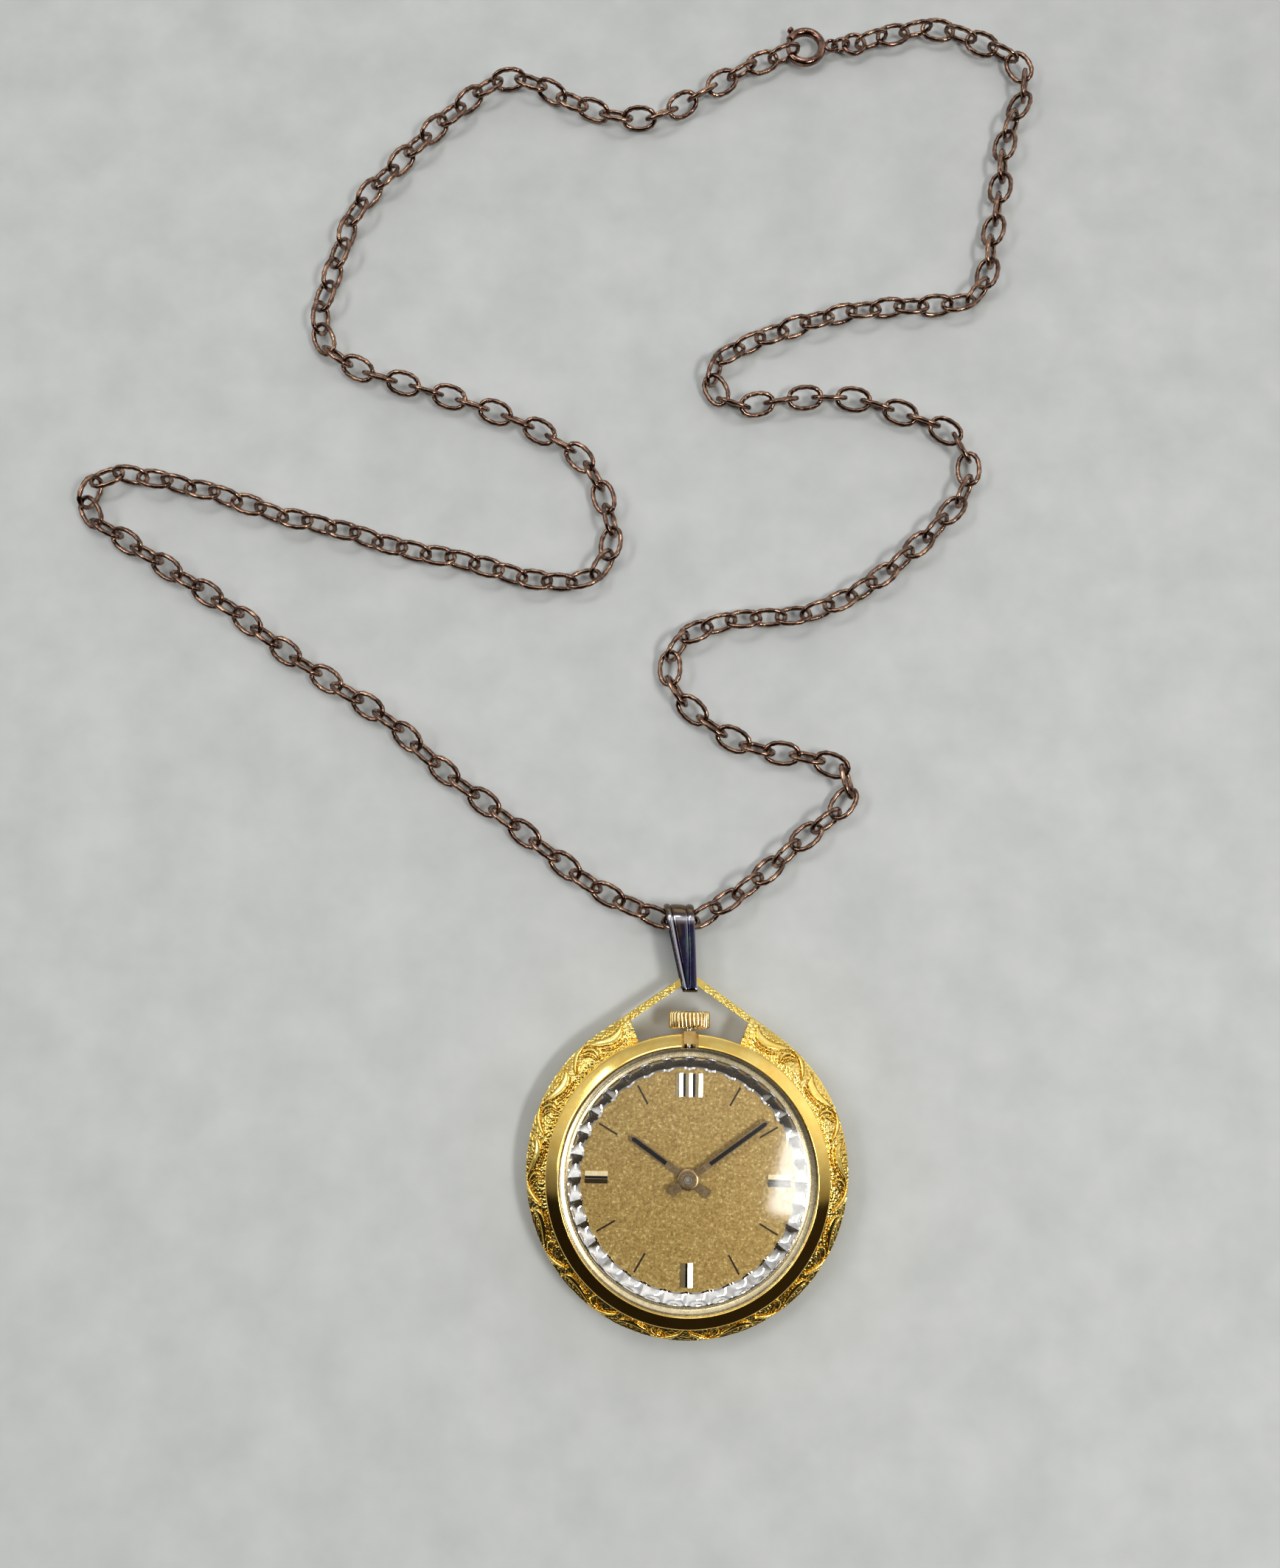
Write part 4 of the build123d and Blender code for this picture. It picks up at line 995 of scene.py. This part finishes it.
def build_markers():
    """One bar at 3, 6 and 9 and three at 12, with black strips on or between them."""
    gold = []
    black = []
    for degrees in (90, 180, 270):
        gold.append(roof_bar(MARKER_WIDTH, degrees, 0, 0.15))
        black.append(strip_of(MARKER_STRIP, INLAY_ENDS, DIAL_TOP + 0.19, DIAL_TOP + 0.215, degrees, 0))
    for shift in (-TWELVE_SHIFT, 0, TWELVE_SHIFT):
        gold.append(roof_bar(TWELVE_WIDTH, 0, shift, 0.02))
    for shift in (-TWELVE_STRIP_SHIFT, TWELVE_STRIP_SHIFT):
        black.append(strip_of(TWELVE_STRIP, INLAY_ENDS, DIAL_TOP, DIAL_TOP + 0.2, 0, shift))
    add_mesh("hour_bars", *joined(gold), PALE_GOLD, "watch", ("hour_markers",), "marker_gold", smooth=False)
    add_mesh("hour_bar_inlays", *joined(black), BLACK, "watch", (), "marker_gold", smooth=False)


def prism(shape, low, high, inset, turn):
    """A flat shape of (x, y) corners made into a body, drawn in by the inset at its top and turned."""
    count = len(shape)
    middle = Vector((sum(x for x, y in shape) / count, sum(y for x, y in shape) / count))
    points = []
    for height, shrink in ((low, 0), (high - inset, 0), (high, inset)):
        for x, y in shape:
            away = Vector((x, y)) - middle
            scale = 1 - shrink / max(away.length, 0.3)
            points.append(turn @ Vector((middle.x + away.x * scale, middle.y + away.y * scale, height)))
    faces = [tuple(reversed(range(count))), tuple(range(2 * count, 3 * count))]
    for level in (0, count):
        for side in range(count):
            beside = (side + 1) % count
            faces.append((level + side, level + beside, level + count + beside, level + count + side))
    return points, faces


def build_hand(name, length, width, tail, bottom, degrees, hole, body, node):
    """A baton with a broad tail and a hub ring, and a black inlay on its outer part."""
    top = bottom + HAND_THICKNESS
    turn = Matrix.Rotation(-math.radians(degrees), 4, "Z")
    half = width / 2
    blade = [
        (-half, BLADE_START), (-half, length - half), (0, length), (half, length - half), (half, BLADE_START),
    ]
    tail_side = list(zip(TAIL_HALVES, (-BLADE_START, -tail, -tail - TAIL_TIP)))
    stub = tail_side + [(-x, y) for x, y in reversed(tail_side)]
    hub_profile = [
        (hole, bottom), (HUB_RADIUS, bottom), (HUB_RADIUS, top - 0.02), (HUB_RADIUS - 0.05, top),
        (0.85, top), (0.82, top - 0.05), (0.72, top - 0.05), (0.7, top), (hole, top),
    ]
    bars = [prism(shape, bottom + HAND_LIFT, top, HAND_BEVEL, turn) for shape in (blade, stub)]
    hand = joined([lathe_mesh(hub_profile, HUB_STEPS), *bars])
    sharpen(add_mesh(name, *hand, BRONZE, body, (node,), "hand_bronze"))
    half = width * INLAY_HALF_SHARE
    shoulder = length - width * 0.75
    point = (0, length - width * 0.4)
    inlay = [(-half, INLAY_START), (-half, shoulder), point, (half, shoulder), (half, INLAY_START)]
    strip = prism(inlay, top - 0.02, top + 0.012, 0.0, turn)
    add_mesh(name + "_inlay", *strip, BLACK, body, (), "hand_bronze", smooth=False)


build_dial()
build_markers()
build_hand("hour_baton", 7.84, 0.75, 2.7, 5.35, HOUR_ANGLE, 0.66, "hour_group", "hour_hand")
build_hand("minute_baton", 10.8, 0.7, 2.4, 5.7, MINUTE_ANGLE, 0.48, "minute_group", "minute_hand")


# Engraved frame, whose outline is the part's
FRAME_RADIUS = 17.8
FRAME_SHIFT = 0.6
FRAME_APEX = 22.3
FRAME_TOUCH = math.asin(FRAME_RADIUS / (FRAME_APEX - FRAME_SHIFT))
FRAME_BORE = 14.93
FRAME_BOTTOM = 2.0
FRAME_CHAMFER = 0.08
FRAME_EDGE_TOP = 2.9
FRAME_RISE = 1.1
FRAME_SLOPE = 1.9
FRAME_BULGE = 0.1
ARM_WIDTH = 0.8
WINDOW_HALF = 21.5
RING_STEPS = 1280
ARM_STEPS = 200
FRAME_ROWS = 48

# How far the engraving takes to fade in from the edge, the bezel and the arm's inner side
EDGE_FADE = 0.14
BEZEL_FADE = 0.12
ARM_FADE = 0.08

# Degrees from 12 o'clock that the bail covers, and then over which the engraving fades in
BAIL_HALF_TURN = 4.3
BAIL_FADE_TURN = 1.7

# The motif, which repeats down each side: degrees from its start, and shares of the band's width
MOTIF_START = 24.8
MOTIFS_PER_SIDE = 6
MOTIF_SPAN = (180 - MOTIF_START) / MOTIFS_PER_SIDE
BAND_DEGREE = 0.297
LEAF_END = 16.5
LEAF_OUTER = [
    (0, 0.98), (0.3, 0.86), (2.4, 0.7), (5.5, 0.65), (8.7, 0.71), (11.8, 0.84), (14.5, 0.93), (16.5, 0.97),
]
LEAF_INNER = [
    (0, 0.98), (0.5, 0.6), (1.8, 0.42), (4.1, 0.33), (7.0, 0.35), (10.7, 0.52), (13.4, 0.77), (14.5, 0.86),
    (16.5, 0.97),
]
LEAF_HEIGHT = 0.22
LEAF_EDGE = 0.12
LEAF_HOLLOW = 0.12
LEAF_TILT = 0.04

# Each stroke's places with its half width there, and its height
STROKES = [
    ([
        (13.5, 0.93, 0.06), (16.5, 0.95, 0.12), (19.1, 0.9, 0.19), (20.9, 0.79, 0.2), (23.1, 0.58, 0.15),
        (24.8, 0.34, 0.04),
    ], 0.22),
    ([
        (17.4, 0.8, 0.06), (15.4, 0.77, 0.17), (13.8, 0.62, 0.23), (13.3, 0.42, 0.18), (13.9, 0.18, 0.04),
    ], 0.2),
    ([(18.4, 0.7, 0.05), (16.4, 0.56, 0.08), (15.4, 0.42, 0.08), (15.4, 0.24, 0.05)], 0.1),
    ([(2.0, 0.24, 0.04), (5.2, 0.17, 0.07), (8.3, 0.22, 0.07), (11.0, 0.36, 0.04)], 0.1),
]
STROKE_STEPS = 44
GROUND_DEPTH = 0.07
GROOVE_DEPTH = 0.08
GROOVE_WIDTH = 0.1
NOWHERE = 99.0
NOTHING = -9.0
FAR = 9.0


def smooth_step(value):
    value = np.clip(value, 0, 1)
    return value * value * (3 - 2 * value)


def frame_edge(turn):
    """The outer edge's distance from the case's middle, and how square it stands to that line."""
    turn = np.radians(turn)
    square = np.sin(turn + FRAME_TOUCH)
    line = (FRAME_RADIUS + FRAME_SHIFT * math.sin(FRAME_TOUCH)) / square
    circle = FRAME_SHIFT * np.cos(turn) + np.sqrt(FRAME_RADIUS ** 2 - (FRAME_SHIFT * np.sin(turn)) ** 2)
    touch_x = FRAME_RADIUS * math.cos(FRAME_TOUCH)
    touch_y = FRAME_SHIFT + FRAME_RADIUS * math.sin(FRAME_TOUCH)
    on_line = turn < math.atan2(touch_x, touch_y)
    return np.where(on_line, line, circle), np.where(on_line, square, 1.0)


def grains_of(x, y, size, seed):
    """Round grains of about the size, 1 on their tops and 0 between them."""
    count = 64
    table = np.random.RandomState(seed).rand(count, count, 3)
    column, row = np.floor(x / size).astype(int), np.floor(y / size).astype(int)
    best = np.full(x.shape, FAR)
    for i in (-1, 0, 1):
        for j in (-1, 0, 1):
            jitter = table[(column + i) % count, (row + j) % count]
            gap_x = (column + i + 0.15 + 0.7 * jitter[..., 0]) * size - x
            gap_y = (row + j + 0.15 + 0.7 * jitter[..., 1]) * size - y
            best = np.minimum(best, np.hypot(gap_x, gap_y) / (size * (0.5 + 0.25 * jitter[..., 2])))
    return 1 - np.clip(best, 0, 1) ** 2


def eased(points, at):
    """A smooth curve through (place, value) points."""
    samples, window = 400, 41
    places, values = zip(*points)
    fine = np.linspace(places[0], places[-1], samples)
    line = np.interp(fine, places, values)
    kernel = np.hanning(window)
    padded = np.concatenate([np.full(window // 2, line[0]), line, np.full(window // 2, line[-1])])
    line = np.convolve(padded, kernel / kernel.sum(), "valid")
    return np.interp(at, fine, line)


def leaf_relief(at, share, band):
    """The long leaf's height at each place, and how far the place lies outside it."""
    outer, inner = eased(LEAF_OUTER, at), eased(LEAF_INNER, at)
    width = np.maximum(outer - inner, 1e-4)
    inside = np.where(at <= LEAF_END, np.minimum(share - inner, outer - share) * band * 0.85, -1.0)
    across = np.clip((share - inner) / width, 0, 1)
    hollow = 4 * across * (1 - across) * np.clip(width * band / 0.9, 0, 1)
    height = LEAF_HEIGHT * smooth_step(inside / LEAF_EDGE) - LEAF_HOLLOW * hollow + LEAF_TILT * across
    outside = np.where(at <= LEAF_END, np.maximum(-inside, 0), FAR)
    return np.where(inside > 0, height, NOTHING), outside


def stroke_gap(path, at, share, band):
    """How far each place lies from a stroke's side, below 0 inside it, and the stroke's half width there."""
    steps = np.linspace(0, len(path) - 1, STROKE_STEPS)
    line = np.stack([np.interp(steps, range(len(path)), path[:, k]) for k in range(3)])
    for k in range(2):
        line[k, 1:-1] = (line[k, :-2] + 2 * line[k, 1:-1] + line[k, 2:]) / 4
    across = (share[:, None] - line[1]) * band[:, None]
    gap = np.hypot((at[:, None] - line[0]) * BAND_DEGREE, across) - line[2]
    nearest = gap.argmin(axis=1)
    return gap[np.arange(len(nearest)), nearest], line[2][nearest]


def engraving(turn, share, band, x, y):
    """The engraving's height over the frame's plain surface."""
    at = np.where(turn >= MOTIF_START, (turn - MOTIF_START) % MOTIF_SPAN, NOWHERE)
    feature, outside = leaf_relief(at, share, band)
    for path, height in STROKES:
        path = np.array(path)
        near = (at > path[:, 0].min() - 2) & (at < path[:, 0].max() + 2)
        gap, half = stroke_gap(path, at[near], share[near], band[near])
        rise = np.where(gap < 0, height * np.sqrt(np.clip(-gap / half, 0, 1)), NOTHING)
        feature[near] = np.maximum(feature[near], rise)
        outside[near] = np.minimum(outside[near], np.maximum(gap, 0))
    coarse = smooth_step((27 - turn) / 3)
    fine_grains = grains_of(x, y, 0.28, 3) * 0.07
    coarse_grains = grains_of(x, y, 0.34, 8) * 0.17 + 0.02
    ground = fine_grains * (1 - coarse) + coarse_grains * coarse - GROUND_DEPTH
    ground = ground - GROOVE_DEPTH * np.exp(-(outside / GROOVE_WIDTH) ** 2)
    return np.maximum(ground, feature)


def build_frame():
    """The flat ring with its point and its open window, engraved all over its sloping face."""
    ring = np.linspace(90 + WINDOW_HALF, 450 - WINDOW_HALF, RING_STEPS)
    arms = np.linspace(90 - WINDOW_HALF, 90 + WINDOW_HALF, ARM_STEPS)
    angles = np.concatenate([ring, arms])[:, None]
    is_arm = np.arange(len(angles))[:, None] >= len(ring)
    turn = np.abs((angles - 90 + 180) % 360 - 180)
    edge, square = frame_edge(turn)
    start = np.where(is_arm, edge - ARM_WIDTH / square, FRAME_BORE)
    radius = start + (edge - start) * np.linspace(0, 1, FRAME_ROWS)
    x, y = radius * np.cos(np.radians(angles)), radius * np.sin(np.radians(angles))
    inset = (edge - radius) * square
    climb = np.clip(inset / FRAME_SLOPE, 0, 1)
    clear_of_bail = smooth_step((turn - BAIL_HALF_TURN) / BAIL_FADE_TURN)
    base = FRAME_EDGE_TOP + FRAME_RISE * (climb + FRAME_BULGE * np.sin(climb * math.pi) * clear_of_bail)
    band = np.broadcast_to(edge - BEZEL_RADIUS, radius.shape)
    share = (radius - BEZEL_RADIUS) / band
    turns = np.broadcast_to(turn, radius.shape)
    relief = engraving(turns.ravel(), share.ravel(), band.ravel(), x.ravel(), y.ravel()).reshape(radius.shape)
    arm_fade = smooth_step((radius - start) / ARM_FADE)
    ring_fade = smooth_step((radius - BEZEL_RADIUS) / BEZEL_FADE)
    fade = smooth_step(inset / EDGE_FADE) * np.where(is_arm, arm_fade, ring_fade) * clear_of_bail
    height = base + relief * fade
    height = np.where(radius < BEZEL_RADIUS + 0.02, np.minimum(height, CASE_TOP - 0.03), height)
    marks = np.clip(0.7 - (relief + GROUND_DEPTH) / 0.11, 0, 1) * fade
    points, hollow = [], []
    for index in range(len(angles)):
        angle = math.radians(angles[index, 0])
        low, high = start[index, 0], edge[index, 0]
        points.append(polar(low, angle, FRAME_BOTTOM))
        points.extend(zip(x[index], y[index], height[index]))
        points.append(polar(high, angle, FRAME_BOTTOM + 0.6))
        points.append(polar(high, angle, FRAME_BOTTOM + FRAME_CHAMFER))
        points.append(polar(high - FRAME_CHAMFER, angle, FRAME_BOTTOM))
        hollow.extend([0.0, *marks[index].tolist(), 0.0, 0.0, 0.0])
    faces = grid_faces(len(angles), FRAME_ROWS + 4, True)
    piece = add_mesh("frame_engraved", points, faces, FRAME_GOLD, "watch", ("ornate_frame",), "frame_gold")
    mark(piece, "hollow", hollow)
    sharpen(piece, 62)


build_frame()


# Crown
CROWN_FLUTES = 30
FLUTE_STEPS = 8
CROWN_COLUMNS = CROWN_FLUTES * FLUTE_STEPS
FLUTE_DEPTH = 0.26

# Rings along the stem: the place along Y, the radius and the share of the flutes' depth
CROWN_RINGS = [
    (15.95, 2.1, 0), (16.0, 2.2, 0), (16.05, 2.27, 0.3), (16.2, 2.35, 1), (17.6, 2.35, 1), (17.75, 2.3, 0.6),
    (17.85, 2.15, 0.1), (17.9, 1.9, 0),
]
CROWN_END_RINGS = [(17.92, 1.0), (17.93, 0.4)]
CROWN_HOLLOW_RINGS = [(15.95, 1.15), (16.85, 1.15), (16.85, 0.48)]


def stem_point(y, radius, column):
    """A point of a ring about the stem."""
    angle = 2 * math.pi * column / CROWN_COLUMNS
    return (radius * math.cos(angle), y, STEM_HEIGHT + radius * math.sin(angle))


def stem_rings(rings):
    return [stem_point(y, radius, column) for y, radius in rings for column in range(CROWN_COLUMNS)]


def build_crown():
    """A fluted crown with rounded teeth, a domed end and a hollow round the stem."""
    columns = CROWN_COLUMNS
    points = []
    hollow = []
    for y, radius, depth in CROWN_RINGS:
        for column in range(columns):
            share = (column % FLUTE_STEPS) / FLUTE_STEPS
            hollow.append(depth * max(0.0, 1 - min(share, 1 - share) / 0.3))
            wave = abs(math.sin(math.pi * share)) ** 0.6
            points.append(stem_point(y, radius - FLUTE_DEPTH * depth * (1 - wave), column))
    points.extend(stem_rings(CROWN_END_RINGS))
    faces = grid_faces(len(CROWN_RINGS) + len(CROWN_END_RINGS), columns, False)
    faces.append(tuple(reversed(range(len(points) - columns, len(points)))))
    start = len(points)
    points.extend(stem_rings(CROWN_HOLLOW_RINGS))
    faces.extend((b, a, d, c) for a, b, c, d in grid_faces(len(CROWN_HOLLOW_RINGS), columns, False, start))
    for column in range(columns):
        beside = (column + 1) % columns
        faces.append((column, beside, start + beside, start + column))
    piece = add_mesh("crown_fluted", points, faces, CROWN_GOLD, "crown_body", ("crown",), "bezel_gold")
    hollow.extend([0.0] * (len(points) - len(hollow)))
    mark(piece, "hollow", hollow)
    sharpen(piece, 50)


build_crown()


# The CAD nodes that stay, with their materials
KEPT = {
    CASE_GOLD: ["case_body", "stem_tube"],
    BACK_STEEL: ["case_back"],
    RUBBER: ["crown_gasket"],
    BRASS: [
        "movement_ring", "main_plate", "barrel_bridge", "train_bridge", "balance_cock", "barrel",
        "centre_wheel", "third_wheel", "fourth_wheel", "balance_wheel", "minute_wheel", "hour_wheel",
    ],
    STEEL: [
        "winding_stem", "bridge_screws", "ratchet_wheel", "crown_wheel", "escape_wheel", "pallet_fork",
        "hairspring", "cannon_pinion", "winding_pinion", "clutch_wheel",
    ],
}
for material, names in KEPT.items():
    for name in names:
        mesh = nodes[name].data
        mesh.materials.clear()
        mesh.materials.append(material)
